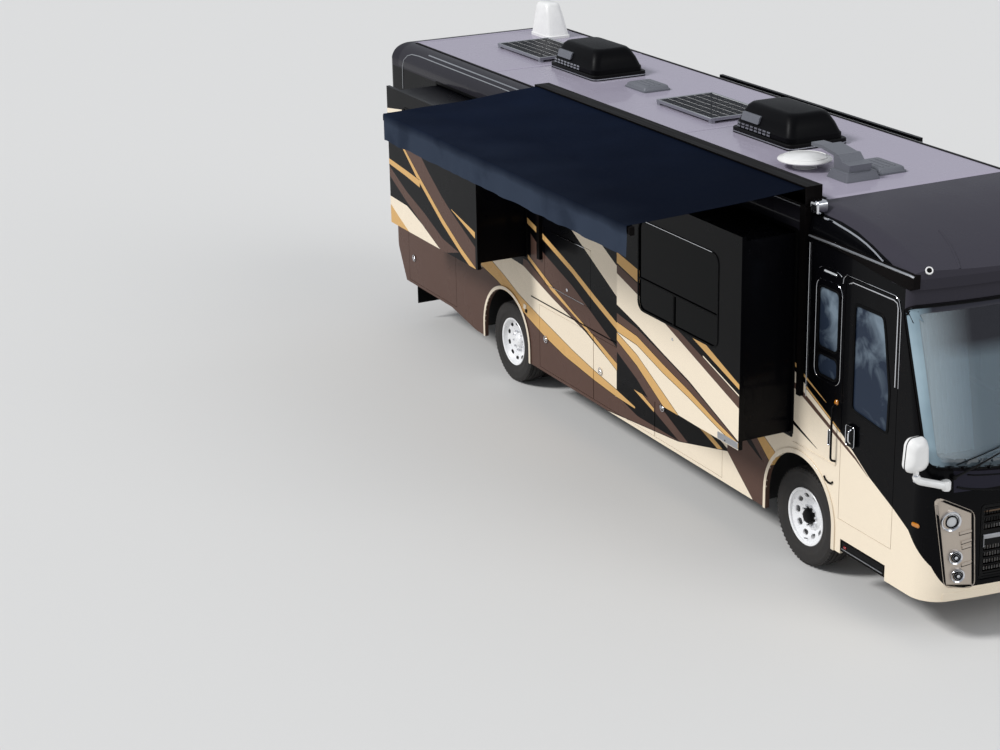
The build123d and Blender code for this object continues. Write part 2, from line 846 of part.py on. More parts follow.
# Basement: trays and bulkheads between the axles, and the plates that close the wheel bays
rear_bay_x = -6800
front_bay_x = 660
with BuildPart() as basement:
    for side in (-1, 1):
        middle_y = side * (tray_inner_y + tray_outer_y) / 2
        depth = tray_outer_y - tray_inner_y
        for x in bulkheads:
            with BuildSketch(level(tray_bottom)):
                with Locations((x, middle_y)):
                    Rectangle(tray_plate, depth)
            extrude(amount=floor_bottom - tray_bottom)
        with BuildSketch(level(tray_bottom)):
            with Locations(((bulkheads[0] + bulkheads[-1]) / 2, middle_y)):
                Rectangle(bulkheads[-1] - bulkheads[0], depth)
        extrude(amount=tray_plate)
        with BuildSketch(level(tray_bottom)):
            with Locations(((bulkheads[0] + bulkheads[-1]) / 2, side * (tray_inner_y + tray_plate / 2))):
                Rectangle(bulkheads[-1] - bulkheads[0], tray_plate)
        extrude(amount=floor_bottom - tray_bottom)
        with BuildSketch(level(tail_bottom)):
            with Locations((rear_bay_x, middle_y)):
                Rectangle(tray_plate, depth)
        extrude(amount=floor_bottom - tail_bottom)
    with BuildSketch(level(tray_bottom)):
        with Locations((front_bay_x, (tray_inner_y + tray_outer_y) / 2)):
            Rectangle(tray_plate, tray_outer_y - tray_inner_y)
    extrude(amount=floor_bottom - tray_bottom)
save(basement, "basement")

# Entry door with its window, grab plate and glass
door_window = ((820, 2895), (1235, 2895), (1272, 2740), (1358, 2230), (1350, 1828), (820, 1893))
door_window_radius = 45
handle_width = 130
handle_height = 200
handle_depth = 30


def door_window_outline(inset=0.0):
    """Outline of the entry door's window, with its front edge raked like the windshield pillar."""
    with BuildSketch() as outline:
        with BuildLine():
            Polyline(*door_window, close=True)
        make_face()
        fillet(outline.vertices(), door_window_radius)
        if inset > 0:
            offset(amount=-inset, mode=Mode.REPLACE)
    return outline.sketch


with BuildPart() as entry_door:
    with BuildSketch(upright(-half_body)):
        add(door_outline())
        add(door_window_outline(), mode=Mode.SUBTRACT)
    extrude(amount=-door_thick)
    with BuildSketch(upright(-half_body)):
        with Locations((door_rear_x + 175, 1640)):
            RectangleRounded(handle_width, handle_height, 25)
    extrude(amount=handle_depth)
save(entry_door, "entry_door")

with BuildPart() as entry_door_glass:
    with BuildSketch(upright(-half_body + 10)):
        add(door_window_outline())
    extrude(amount=-pane)
save(entry_door_glass, "entry_door_glass")

# Slide-out entry step: tread with a toe board
step_depth = 300
step_tread_low = 500
step_tread = 40
step_toe = 16
with BuildPart() as entry_step:
    with BuildSketch(level(step_tread_low)):
        with Locations(((step_rear_x + step_front_x) / 2, -half_body + step_depth / 2)):
            Rectangle(step_front_x - step_rear_x, step_depth)
    extrude(amount=step_tread)
    with BuildSketch(level(step_low)):
        with Locations(((step_rear_x + step_front_x) / 2, -half_body + step_toe / 2)):
            Rectangle(step_front_x - step_rear_x, step_toe)
    extrude(amount=step_high - step_low)
save(entry_step, "entry_step")

# Compartment doors, each a panel with a round latch near its rear edge
latch_radius = 42
latch_depth = 8
latch_inset = 165
for name, side, rear, front, low, high in bay_doors:
    with BuildPart() as bay_door:
        with BuildSketch(upright(side * half_body)):
            add(rectangle_between(rear + gap, front - gap, low + gap, high - gap))
        extrude(amount=side * skirt)
        with BuildSketch(upright(side * half_body)):
            with Locations((rear + latch_inset, (low + high) / 2)):
                Circle(latch_radius)
        extrude(amount=-side * latch_depth)
    save(bay_door, name)

# Lid over the outdoor screen
with BuildPart() as screen_hatch:
    with BuildSketch(upright(-half_body)):
        add(rectangle_between(hatch_rear_x, hatch_front_x, hatch_low, hatch_high, 20))
    extrude(amount=-skirt)
save(screen_hatch, "screen_hatch")

# Slide-out rooms: outer face with a window, and a box open to the inside
for name, side, rear, front, low, high, reach, glass_rear, glass_front, glass_low, glass_high in rooms:
    face_y = side * (half_body + reach)
    back_y = side * (half_body + reach - fascia_thick)
    inner_y = side * (half_body - room_tail)
    with BuildPart() as room:
        with BuildSketch(upright(face_y)):
            add(rectangle_between(rear, front, low, high))
        extrude(amount=side * fascia_thick)
        with BuildSketch(upright(back_y)):
            inset = fascia_overlap
            add(rectangle_between(rear + inset, front - inset, low + inset, high - inset))
            inset = fascia_overlap + room_wall
            add(rectangle_between(rear + inset, front - inset, low + inset, high - inset), mode=Mode.SUBTRACT)
        extrude(amount=abs(back_y - inner_y) * side)
        with BuildSketch(upright(face_y)):
            add(rectangle_between(glass_rear, glass_front, glass_low, glass_high, 90))
        extrude(amount=side * fascia_thick, mode=Mode.SUBTRACT)
    save(room, name)
    with BuildPart() as room_glass:
        with BuildSketch(upright(face_y - side * 10)):
            add(rectangle_between(glass_rear, glass_front, glass_low, glass_high, 90))
        extrude(amount=side * pane)
    save(room_glass, f"{name}_glass")

# Awning case: a channel along the roof edge on saddles, with the roller and the two wall posts
roller_radius = 27
roller_z = 3764
roller_y = 85 - half_body
saddle_width = 90
saddle_x = (awning_rear_x + 35, (awning_rear_x + awning_front_x) / 2, awning_front_x - 35)
post_width = 65
post_depth = 42
post_low = 1780
arm_length = (arm_shoulder_y - arm_rail_y) / (2 * sin(radians(arm_open_angle)))
arm_offset_x = arm_length * cos(radians(arm_open_angle))
elbow_y = arm_shoulder_y - arm_length * sin(radians(arm_open_angle))
arm_upper_z = arm_lower_z + arm_thick + arm_layer_gap
# name of the side, x of the shoulder, direction in which the elbow folds
arms = (
    ("rear", awning_rear_x + arm_inset, 1),
    ("front", awning_front_x - arm_inset, -1),
)

with BuildPart() as awning_case:
    with BuildSketch(across(awning_rear_x)):
        with Locations((awning_back_y - awning_case_depth / 2, awning_case_z + awning_case_height / 2)):
            Rectangle(awning_case_depth, awning_case_height)
        with Locations(
            (awning_back_y - awning_case_depth / 2 - awning_case_plate, awning_case_z + awning_case_height / 2)
        ):
            Rectangle(awning_case_depth, awning_case_height - 2 * awning_case_plate, mode=Mode.SUBTRACT)
    extrude(amount=awning_front_x - awning_rear_x)
    with BuildSketch(across(awning_rear_x)):
        with Locations((roller_y, roller_z)):
            Circle(roller_radius)
    extrude(amount=awning_front_x - awning_rear_x)
    for x in (awning_rear_x, awning_front_x - awning_case_plate):
        with BuildSketch(across(x)):
            with Locations((awning_back_y - awning_case_depth / 2, awning_case_z + awning_case_height / 2)):
                Rectangle(awning_case_depth, awning_case_height)
        extrude(amount=awning_case_plate)
    for x in saddle_x:
        with BuildSketch(across(x - saddle_width / 2)):
            with BuildLine():
                Polyline(
                    (awning_back_y, awning_case_z),
                    (awning_back_y, awning_case_z - 120),
                    (-half_body, wall_top - 60),
                    (-half_body - post_depth, wall_top - 60),
                    (-half_body - post_depth, awning_case_z),
                    close=True,
                )
            make_face()
        extrude(amount=saddle_width)
    extrude(
        body_section(roof_top, roof_radius, 0, wall_top - 200, awning_rear_x - 100),
        amount=awning_front_x - awning_rear_x + 200,
        mode=Mode.SUBTRACT,
    )
    for x in (saddle_x[0], saddle_x[-1]):
        with BuildSketch(level(post_low)):
            with Locations((x, -half_body - post_depth / 2)):
                Rectangle(post_width, post_depth)
        extrude(amount=awning_case_z - post_low)
    for word, shoulder_x, fold in arms:
        with BuildSketch(level(awning_case_z + awning_case_plate)):
            with Locations((shoulder_x, arm_shoulder_y)):
                Circle(arm_pin_radius)
        extrude(amount=arm_upper_z + arm_thick + arm_pin_head - awning_case_z - awning_case_plate)
save(awning_case, "awning_case")


def arm_outline(start, end):
    """Plan outline of a folding arm: a bar between two round eyes."""
    reach = ((end[0] - start[0]) ** 2 + (end[1] - start[1]) ** 2) ** 0.5
    angle = degrees(acos((end[0] - start[0]) / reach)) * (-1 if end[1] < start[1] else 1)
    middle = ((start[0] + end[0]) / 2, (start[1] + end[1]) / 2)
    with BuildSketch() as outline:
        with Locations(Location((*middle, 0), (0, 0, angle))):
            SlotOverall(reach + arm_width, arm_width)
    return outline.sketch


for word, shoulder_x, fold in arms:
    shoulder = (shoulder_x, arm_shoulder_y)
    elbow = (shoulder_x + fold * arm_offset_x, elbow_y)
    wrist = (shoulder_x, arm_rail_y)
    with BuildPart() as upper_arm:
        with BuildSketch(level(arm_upper_z)):
            add(arm_outline(shoulder, elbow))
            with Locations(shoulder):
                Circle(arm_pin_radius + arm_pin_gap, mode=Mode.SUBTRACT)
        extrude(amount=arm_thick)
        with BuildSketch(level(arm_lower_z)):
            with Locations(elbow):
                Circle(arm_pin_radius)
        extrude(amount=arm_upper_z - arm_lower_z)
    save(upper_arm, f"awning_arm_{word}")
    with BuildPart() as fore_arm:
        with BuildSketch(level(arm_lower_z)):
            add(arm_outline(elbow, wrist))
            with Locations(elbow, wrist):
                Circle(arm_pin_radius + arm_pin_gap, mode=Mode.SUBTRACT)
        extrude(amount=arm_thick)
    save(fore_arm, f"awning_forearm_{word}")

# Lead rail with a lug and pin behind it for each forearm
lug_low = arm_lower_z + arm_thick + 6
lug_thick = 12
lug_width = 60
lug_reach = 24
with BuildPart() as lead_rail:
    with BuildSketch(level(lead_rail_z)):
        with Locations(((awning_rear_x + awning_front_x) / 2, lead_rail_y)):
            Rectangle(awning_front_x - awning_rear_x, lead_rail_depth)
    extrude(amount=lead_rail_height)
    fillet(lead_rail.edges().filter_by(Axis.X).group_by(Axis.Y)[0], 18)
    for word, shoulder_x, fold in arms:
        with BuildSketch(level(lug_low)):
            with Locations((shoulder_x, (lead_rail_y + arm_rail_y + lug_reach) / 2)):
                Rectangle(lug_width, arm_rail_y + lug_reach - lead_rail_y)
        extrude(amount=lug_thick)
        with BuildSketch(level(arm_lower_z)):
            with Locations((shoulder_x, arm_rail_y)):
                Circle(arm_pin_radius)
        extrude(amount=lug_low - arm_lower_z)
save(lead_rail, "awning_lead_rail")

# Awning cloth from the roller to the lead rail, and the valance that hangs from the rail
cloth = 6
valance_drop = 205
fabric_side_inset = 30
with BuildPart() as awning_fabric:
    with BuildSketch(across(awning_rear_x + fabric_side_inset)):
        with BuildLine():
            Polyline(
                (roller_y, roller_z + roller_radius + 4),
                (roller_y, roller_z + roller_radius + 4 + cloth),
                (lead_rail_y, lead_rail_z + lead_rail_height + 1 + cloth),
                (lead_rail_y, lead_rail_z + lead_rail_height + 1),
                close=True,
            )
        make_face()
    extrude(amount=awning_front_x - awning_rear_x - 2 * fabric_side_inset)
save(awning_fabric, "awning_fabric")

with BuildPart() as awning_valance:
    with BuildSketch(level(lead_rail_z - valance_drop)):
        with Locations(((awning_rear_x + awning_front_x) / 2, lead_rail_y)):
            Rectangle(awning_front_x - awning_rear_x - 2 * fabric_side_inset, cloth)
    extrude(amount=valance_drop)
save(awning_valance, "awning_valance")

# Grille: a frame with level slats that follow the bow of the nose
grille_frame = 45
slat_height = 18
slat_count = 10
grille_bar_low = 905
grille_bar_high = 1035
with BuildPart() as grille:
    add(nose_solid(8))
    add(nose_solid(34), mode=Mode.SUBTRACT)
    with BuildSketch(across(front_seam_x + 200)):
        add(
            rectangle_between(
                -grille_half + gap, grille_half - gap, grille_low + gap, grille_high - gap, 35
            )
        )
        inner_half = grille_half - gap - grille_frame
        add(
            rectangle_between(
                -inner_half, inner_half, grille_low + gap + grille_frame, grille_high - gap - grille_frame, 15
            ),
            mode=Mode.SUBTRACT,
        )
        slat_pitch = (grille_high - grille_low) / (slat_count + 1)
        for row in range(1, slat_count + 1):
            with Locations((0, grille_low + row * slat_pitch)):
                Rectangle(2 * inner_half + 4, slat_height)
        add(rectangle_between(-inner_half - 2, inner_half + 2, grille_bar_low, grille_bar_high))
    extrude(amount=600, mode=Mode.INTERSECT)
save(grille, "grille")


def nose_bow(y):
    """How far the bowed front lies behind its middle at a given Y."""
    radius = (half_body**2 + nose_sag**2) / (2 * nose_sag)
    return radius - (radius**2 - y**2) ** 0.5


def nose_front(y, z):
    """X of the nose surface at a place on its bowed front."""
    for (low, low_x, low_r), (high, high_x, high_r) in zip(nose_sections, nose_sections[1:]):
        if low <= z <= high:
            return low_x + (high_x - low_x) * (z - low) / (high - low) - nose_bow(y)
    return nose_sections[-1][1] - nose_bow(y)


# Lamps. Headlamp clusters fill the openings of the nose; tail lamps stand on the rear cap.
# distance in from the body's side, z, radius of each round lamp
round_lamps = ((223, 1187, 82), (275, 839, 58), (302, 659, 58))
tail_lamp_y = half_body - 215
tail_lamp_low = 1300
tail_lamp_high = 1700


def headlamp_cluster(side):
    """Housing that fills the opening in the nose, with its round lamps."""
    with BuildPart() as cluster:
        add(nose_solid(8))
        add(nose_solid(36), mode=Mode.SUBTRACT)
        with BuildSketch(across(front_seam_x + 300)):
            with BuildLine():
                Polyline(*[(side * (half_body - inset), z) for inset, z in lamp_outline], close=True)
            make_face()
            offset(amount=-gap, kind=Kind.INTERSECTION, mode=Mode.REPLACE)
        extrude(amount=600, mode=Mode.INTERSECT)
        for inset, z, radius in round_lamps:
            y = half_body - inset
            with BuildSketch(across(nose_front(y, z) - 30)):
                with Locations((side * y, z)):
                    Circle(radius)
            extrude(amount=34)
    return cluster.part


with BuildPart() as lamps:
    for side in (-1, 1):
        add(headlamp_cluster(side))
        with BuildSketch(across(rear_x)):
            with Locations((side * tail_lamp_y, (tail_lamp_low + tail_lamp_high) / 2)):
                RectangleRounded(130, tail_lamp_high - tail_lamp_low, 40)
        extrude(amount=-tail_lamp_depth)
save(lamps, "lamps")

# Mirrors: rounded heads on bent arms from the nose corners
mirror_x = 1950
mirror_y = half_body + 125
mirror_z = 1860
mirror_depth = 150
mirror_width = 250
mirror_height = 380
mirror_arm_radius = 20
mirror_foot_y = half_body - 195
mirror_foot_z = 1540
with BuildPart() as mirrors:
    for side in (-1, 1):
        with BuildSketch(across(mirror_x - mirror_depth / 2)):
            with Locations((side * mirror_y, mirror_z)):
                RectangleRounded(mirror_width, mirror_height, 70)
        extrude(amount=mirror_depth)
        foot = Vector(nose_front(mirror_foot_y, mirror_foot_z) - 15, side * mirror_foot_y, mirror_foot_z)
        bend = Vector(foot.X + 75, side * (mirror_foot_y + 20), mirror_foot_z + 10)
        reach = Vector(mirror_x, side * (mirror_y + 20), mirror_z - mirror_height / 2 - 40)
        head = Vector(mirror_x, side * (mirror_y + 20), mirror_z - mirror_height / 2 + 30)
        with BuildLine() as arm_path:
            FilletPolyline(foot, bend, reach, head, radius=(25, 25))
        with BuildSketch(Plane(origin=foot, z_dir=bend - foot)) as arm_section:
            Circle(mirror_arm_radius)
        sweep(sections=arm_section.sketch, path=arm_path.line)
    add(nose_solid(), mode=Mode.SUBTRACT)
save(mirrors, "mirrors")

# Wipers: a round pivot, an arm and a blade lying in front of the glass
wiper_stand = 28
wiper_radius = 9
wiper_rows = ((half_body - 235, 1600), (560, 1760), (120, 1900))
with BuildPart() as wipers:
    for side in (-1, 1):
        places = [Vector(nose_front(y, z) + wiper_stand, side * y, z) for y, z in wiper_rows]
        pivot, knee, tip = places
        with BuildLine() as wiper_path:
            Polyline(pivot, knee, tip)
        with BuildSketch(Plane(origin=pivot, z_dir=knee - pivot)) as wiper_section:
            Circle(wiper_radius)
        sweep(sections=wiper_section.sketch, path=wiper_path.line, transition=Transition.ROUND)
        with BuildSketch(across(pivot.X - wiper_stand - 30)):
            with Locations((side * wiper_rows[0][0], wiper_rows[0][1])):
                Circle(22)
        extrude(amount=wiper_stand + 40)
    add(nose_solid(), mode=Mode.SUBTRACT)
save(wipers, "wipers")

# Air conditioners: a low tray on the roof and a tapered shroud
unit_y = 60
unit_length = 1100
unit_width = 720
unit_tray = 60
unit_height = 270
unit_taper = 130
with BuildPart() as ac_units:
    for x in (-6270, -2250):
        with BuildSketch(level(roof_top)):
            with Locations((x, unit_y)):
                RectangleRounded(unit_length, unit_width, 60)
        extrude(amount=unit_tray)
        with BuildSketch(level(roof_top + unit_tray)) as foot_section:
            with Locations((x, unit_y)):
                RectangleRounded(unit_length - 60, unit_width - 40, 90)
        with BuildSketch(level(roof_top + unit_tray + unit_height)) as top_section:
            with Locations((x - 30, unit_y)):
                RectangleRounded(unit_length - 60 - 2 * unit_taper, unit_width - 40 - 2 * unit_taper, 70)
        loft([foot_section.sketch, top_section.sketch])
save(ac_units, "ac_units")

# Solar panels in shallow frames on four feet each
solar_rear_x = -7635
solar_front_x = -3745
solar_length = 1130
solar_width = 725
solar_thick = 30
solar_foot = 25
with BuildPart() as solar_panels:
    for x in (solar_rear_x, solar_front_x):
        with BuildSketch(level(roof_top + solar_foot)):
            with Locations((x, unit_y)):
                Rectangle(solar_length, solar_width)
        extrude(amount=solar_thick)
        with BuildSketch(level(roof_top)):
            with Locations((x, unit_y)):
                with GridLocations(solar_length - 60, solar_width - 60, 2, 2):
                    Rectangle(50, 50)
        extrude(amount=solar_foot)
save(solar_panels, "solar_panels")

# Roof fittings: low vents, satellite dish on its foot, folded aerial mount and the rear dome
# x, y, length, width, height of each vent
roof_vents = ((-5100, 55, 460, 350, 60), (-680, 45, 470, 330, 60))
dish_x = -1120
dish_y = -520
dish_radius = 270
aerial_x = -470
aerial_y = -400
dome_x = -8570
dome_y = 650
with BuildPart() as roof_fittings:
    for x, y, length, width, height in roof_vents:
        with BuildSketch(level(roof_top)):
            with Locations((x, y)):
                RectangleRounded(length, width, 30)
        extrude(amount=height, taper=20)
    with BuildSketch(Plane(origin=(dish_x, dish_y, roof_top), x_dir=(1, 0, 0), z_dir=(0, -1, 0))):
        with BuildLine():
            Polyline(
                (0, 0),
                (110, 0),
                (90, 60),
                (dish_radius, 75),
                (dish_radius, 85),
                (170, 125),
                (0, 140),
                close=True,
            )
        make_face()
    revolve(axis=Axis((dish_x, dish_y, 0), (0, 0, 1)))
    for length, width, low, height in ((340, 400, 0, 60), (250, 300, 60, 50), (180, 200, 110, 50)):
        with BuildSketch(level(roof_top + low)):
            with Locations((aerial_x - low / 3, aerial_y)):
                RectangleRounded(length, width, 25)
        extrude(amount=height, taper=12)
    with BuildSketch(level(roof_top)) as dome_foot:
        with Locations((dome_x, dome_y)):
            RectangleRounded(520, 330, 60)
    with BuildSketch(level(roof_top + 430)) as dome_top:
        with Locations((dome_x - 60, dome_y)):
            RectangleRounded(300, 180, 60)
    loft([dome_foot.sketch, dome_top.sketch])
save(roof_fittings, "roof_fittings")

# Dashboard across the nose, with the steering column and wheel at the driver's place
driver_y = half_body - 635
wheel_ring = 225
wheel_tube = 17
wheel_x = 1400
wheel_z = 1870
column_tilt = 38
with BuildPart() as dashboard:
    with BuildSketch(upright(half_body)):
        with BuildLine():
            Polyline(
                (1780, floor_top),
                (1780, 1390),
                (1620, 1430),
                (1590, 1590),
                (1660, 1655),
                (2300, 1655),
                (2300, floor_top),
                close=True,
            )
        make_face()
    extrude(amount=body_width)
    add(nose_solid(cap_wall + 5), mode=Mode.INTERSECT)
    extrude(windshield_outline(-60), amount=900, mode=Mode.SUBTRACT)
    wheel_axis = Vector(-cos(radians(column_tilt)), 0, sin(radians(column_tilt)))
    wheel_plane = Plane(origin=(wheel_x, driver_y, wheel_z), x_dir=(0, 1, 0), z_dir=wheel_axis)
    with BuildSketch(wheel_plane.offset(-10)):
        Circle(28)
    extrude(amount=-380)
    with BuildSketch(wheel_plane.offset(-10)):
        for turn in (90, 210, 330):
            with Locations(Location((0, 0, 0), (0, 0, turn))):
                with Locations((wheel_ring / 2, 0)):
                    Rectangle(wheel_ring, 30)
    extrude(amount=16)
    ring_plane = Plane(
        origin=wheel_plane.origin + Vector(0, wheel_ring, 0), x_dir=wheel_axis, z_dir=wheel_plane.y_dir
    )
    with BuildSketch(ring_plane):
        Circle(wheel_tube)
    revolve(axis=Axis(wheel_plane.origin, wheel_axis))
save(dashboard, "dashboard")

# Captain's seats on box pedestals. x, y of the middle of each seat
seat_places = ((900, driver_y), (320, -driver_y))
seat_width = 520
with BuildPart() as cab_seats:
    for x, y in seat_places:
        with BuildSketch(level(floor_top)):
            with Locations((x, y)):
                Rectangle(360, 360)
        extrude(amount=260)
        with BuildSketch(Plane.XZ.offset(-(y + seat_width / 2))):
            with BuildLine():
                Polyline(
                    (x + 270, floor_top + 260),
                    (x + 290, floor_top + 400),
                    (x - 160, floor_top + 390),
                    (x - 330, floor_top + 1060),
                    (x - 450, floor_top + 1030),
                    (x - 270, floor_top + 260),
                    close=True,
                )
            make_face()
        extrude(amount=seat_width)
save(cab_seats, "cab_seats")

# Rubber guards that hang behind the rear wheels
flap_x = -8945
flap_low = 215
flap_thick = 12
flap_inner_y = 330
flap_outer_y = half_body - 95
with BuildPart() as mud_flaps:
    for side in (-1, 1):
        with BuildSketch(level(flap_low)):
            with Locations((flap_x, side * (flap_inner_y + flap_outer_y) / 2)):
                Rectangle(flap_thick, flap_outer_y - flap_inner_y)
        extrude(amount=rail_bottom - flap_low)
save(mud_flaps, "mud_flaps")
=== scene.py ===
"""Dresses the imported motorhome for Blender: paint, glass, chrome, tyres, awning cloth, roof and cab.

The coach's own coordinates are metres from the middle of the front axle on the ground: x forward,
y to its left, z up. `at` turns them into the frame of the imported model.
"""

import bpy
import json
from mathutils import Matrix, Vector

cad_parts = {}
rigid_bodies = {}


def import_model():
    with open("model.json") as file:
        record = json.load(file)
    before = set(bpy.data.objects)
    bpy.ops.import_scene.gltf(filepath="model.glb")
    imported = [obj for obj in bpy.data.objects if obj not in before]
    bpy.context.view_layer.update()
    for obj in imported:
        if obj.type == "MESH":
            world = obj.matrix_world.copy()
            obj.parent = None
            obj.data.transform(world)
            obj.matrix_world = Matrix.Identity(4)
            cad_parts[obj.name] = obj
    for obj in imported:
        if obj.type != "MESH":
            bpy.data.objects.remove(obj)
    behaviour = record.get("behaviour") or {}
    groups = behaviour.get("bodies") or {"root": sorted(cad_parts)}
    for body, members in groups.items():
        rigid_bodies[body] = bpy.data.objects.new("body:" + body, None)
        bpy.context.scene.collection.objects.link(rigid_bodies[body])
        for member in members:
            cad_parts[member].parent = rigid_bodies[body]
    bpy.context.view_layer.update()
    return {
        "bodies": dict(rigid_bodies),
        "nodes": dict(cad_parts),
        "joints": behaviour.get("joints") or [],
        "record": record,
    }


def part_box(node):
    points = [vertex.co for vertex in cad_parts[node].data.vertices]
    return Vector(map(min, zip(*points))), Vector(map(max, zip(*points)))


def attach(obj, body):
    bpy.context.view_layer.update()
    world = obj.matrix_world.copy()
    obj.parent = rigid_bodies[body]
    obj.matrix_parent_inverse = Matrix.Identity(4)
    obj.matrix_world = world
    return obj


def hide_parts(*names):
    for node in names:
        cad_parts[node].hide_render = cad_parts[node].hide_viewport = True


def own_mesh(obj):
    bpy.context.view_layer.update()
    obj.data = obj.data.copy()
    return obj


bl_info = {
    "name": "Motorhome dressing",
    "version": (1, 0, 0),
    "blender": (4, 5, 0),
    "location": "3D View > Sidebar > Motorhome",
    "description": "Builds the visible pieces and finishes of a parked coach on its CAD frame",
    "category": "Object",
}

import json
from math import cos, pi, radians, sin

import bmesh
import bpy
from mathutils import Matrix, Vector
from mathutils.bvhtree import BVHTree

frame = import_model()
cad = frame["nodes"]

front_hubs = [Vector(j["pos_m"]) for j in frame["joints"] if j["name"].startswith("front_")]
axle = (front_hubs[0] + front_hubs[1]) / 2

# Main measures of the coach
half_body = 1.275
front_room_face, rear_room_face, left_room_face = 1.895, 1.935, 1.9
roof_level = 3.65
tail_face = -9.42
rear_axle = -6.15
wheel_radius = 0.495
belt = 1.262


def at(x, y, z):
    """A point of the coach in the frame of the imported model."""
    return Vector((axle.x + x, axle.y + y, z))


def linear(text):
    """Linear RGBA of an sRGB hex colour."""
    channels = [int(text[i:i + 2], 16) / 255 for i in (1, 3, 5)]
    return tuple(c / 12.92 if c <= 0.04045 else ((c + 0.055) / 1.055) ** 2.4 for c in channels) + (1.0,)


# Colours and sizes that a user may change

def swatch(name, text, description):
    return bpy.props.FloatVectorProperty(
        name=name, description=description, subtype="COLOR", size=4, min=0, max=1, default=linear(text)
    )


class CoachColours(bpy.types.PropertyGroup):
    """Finishes of the coach."""

    black: swatch("Black", "#050507", "Base coat of the upper body")
    cream: swatch("Cream", "#eadcc6", "Light base coat of the lower body")
    brown: swatch("Brown", "#57423a", "Brown metallic of the wide bands")
    gold: swatch("Gold", "#cfa569", "Gold of the narrow stripes")
    crown: swatch("Crown", "#3a3840", "Charcoal of the roof edge and the crown")
    membrane: swatch("Membrane", "#9d97a6", "Rubber sheet on the roof")
    cloth: swatch("Awning", "#0e1524", "Awning cloth")


class CoachSizes(bpy.types.PropertyGroup):
    """Sizes of the repeated details."""

    tread_blocks: bpy.props.IntProperty(
        name="Tread blocks", description="Blocks round each rib of a tyre", default=64, min=24, max=96
    )
    wheel_nuts: bpy.props.IntProperty(
        name="Wheel nuts", description="Nuts round each hub", default=10, min=6, max=12
    )
    trim_width: bpy.props.FloatProperty(
        name="Window trim", description="Width of the frames round the windows", default=0.022,
        min=0.01, max=0.05, unit="LENGTH"
    )
    sag: bpy.props.FloatProperty(
        name="Awning sag", description="How far the cloth hangs below a straight line", default=0.026,
        min=0, max=0.035, unit="LENGTH"
    )


# Nodes and finishes

def node(tree, kind, inputs=None, **settings):
    """Adds one node with its settings; each input is a value or another node's output socket."""
    made = tree.nodes.new(kind)
    for name, value in settings.items():
        setattr(made, name, value)
    for key, value in (inputs or {}).items():
        if isinstance(value, bpy.types.NodeSocket):
            tree.links.new(value, made.inputs[key])
        else:
            made.inputs[key].default_value = value
    return made


def finish(name, colour, **values):
    """A new material with one shader; returns it with its tree, its shader and coach coordinates."""
    made = bpy.data.materials.new(name)
    made.use_nodes = True
    tree = made.node_tree
    tree.nodes.clear()
    shader = node(tree, "ShaderNodeBsdfPrincipled", {"Base Color": colour})
    for key, value in values.items():
        shader.inputs[key.replace("_", " ").title().replace("Ior", "IOR")].default_value = value
    node(tree, "ShaderNodeOutputMaterial", {"Surface": shader.outputs["BSDF"]})
    place = node(tree, "ShaderNodeTexCoord").outputs["Object"]
    place = node(tree, "ShaderNodeMapping", {"Vector": place, "Location": (-axle.x, -axle.y, 0)})
    return made, tree, shader, place.outputs["Vector"]


def maths(tree, operation, *values):
    """Result of a Math node on one to three values."""
    return node(tree, "ShaderNodeMath", dict(enumerate(values)), operation=operation).outputs["Value"]


def axes(tree, place):
    """The x, y and z of a place."""
    apart = node(tree, "ShaderNodeSeparateXYZ", {0: place})
    return [apart.outputs[axis] for axis in "XYZ"]


def in_range(tree, value, start, end, low=0.0, high=1.0):
    """A value that runs from low at the start to high at the end."""
    return node(tree, "ShaderNodeMapRange", {
        "Value": value, "From Min": start, "From Max": end, "To Min": low, "To Max": high}).outputs["Result"]


def cloudy(tree, place, scale, detail, distortion=0.0):
    """A noise pattern with that many cells in a metre."""
    return node(tree, "ShaderNodeTexNoise", {
        "Vector": place, "Scale": scale, "Detail": detail, "Distortion": distortion}).outputs["Fac"]


# Numbers of a Mix node's sockets when it mixes colours
mix_factor, mix_low, mix_high, mix_result = 0, 6, 7, 2


def mixed(tree, factor, low, high):
    """A colour between two colours."""
    inputs = {mix_factor: factor, mix_low: low, mix_high: high}
    return node(tree, "ShaderNodeMix", inputs, data_type="RGBA").outputs[mix_result]


def tinted(tree, shader, factor, low, high):
    """Lets the base colour drift between two colours with a pattern."""
    tree.links.new(mixed(tree, factor, low, high), shader.inputs["Base Color"])


def raised(tree, shader, pattern, distance, strength):
    """A faint relief from a pattern."""
    relief = node(tree, "ShaderNodeBump", {"Height": pattern, "Distance": distance, "Strength": strength})
    tree.links.new(relief.outputs["Normal"], shader.inputs["Normal"])


def surface(tree, shader, place, size, rough, relief=0.0, stretch=(1, 1, 1), fine=3.0):
    """Uneven roughness and a faint relief of one pattern size in metres."""
    spread = node(tree, "ShaderNodeMapping", {"Vector": place, "Scale": stretch}).outputs["Vector"]
    pattern = cloudy(tree, spread, 1 / size, fine)
    tree.links.new(in_range(tree, pattern, 0.3, 0.7, *rough), shader.inputs["Roughness"])
    if relief:
        raised(tree, shader, pattern, relief, 0.6)
    return pattern


def rgba(colour):
    """Linear RGBA of a hex colour or of a colour that the user may change."""
    return linear(colour) if isinstance(colour, str) else tuple(colour)


def darker(colour, share):
    return tuple(c * share for c in colour[:3]) + (1.0,)


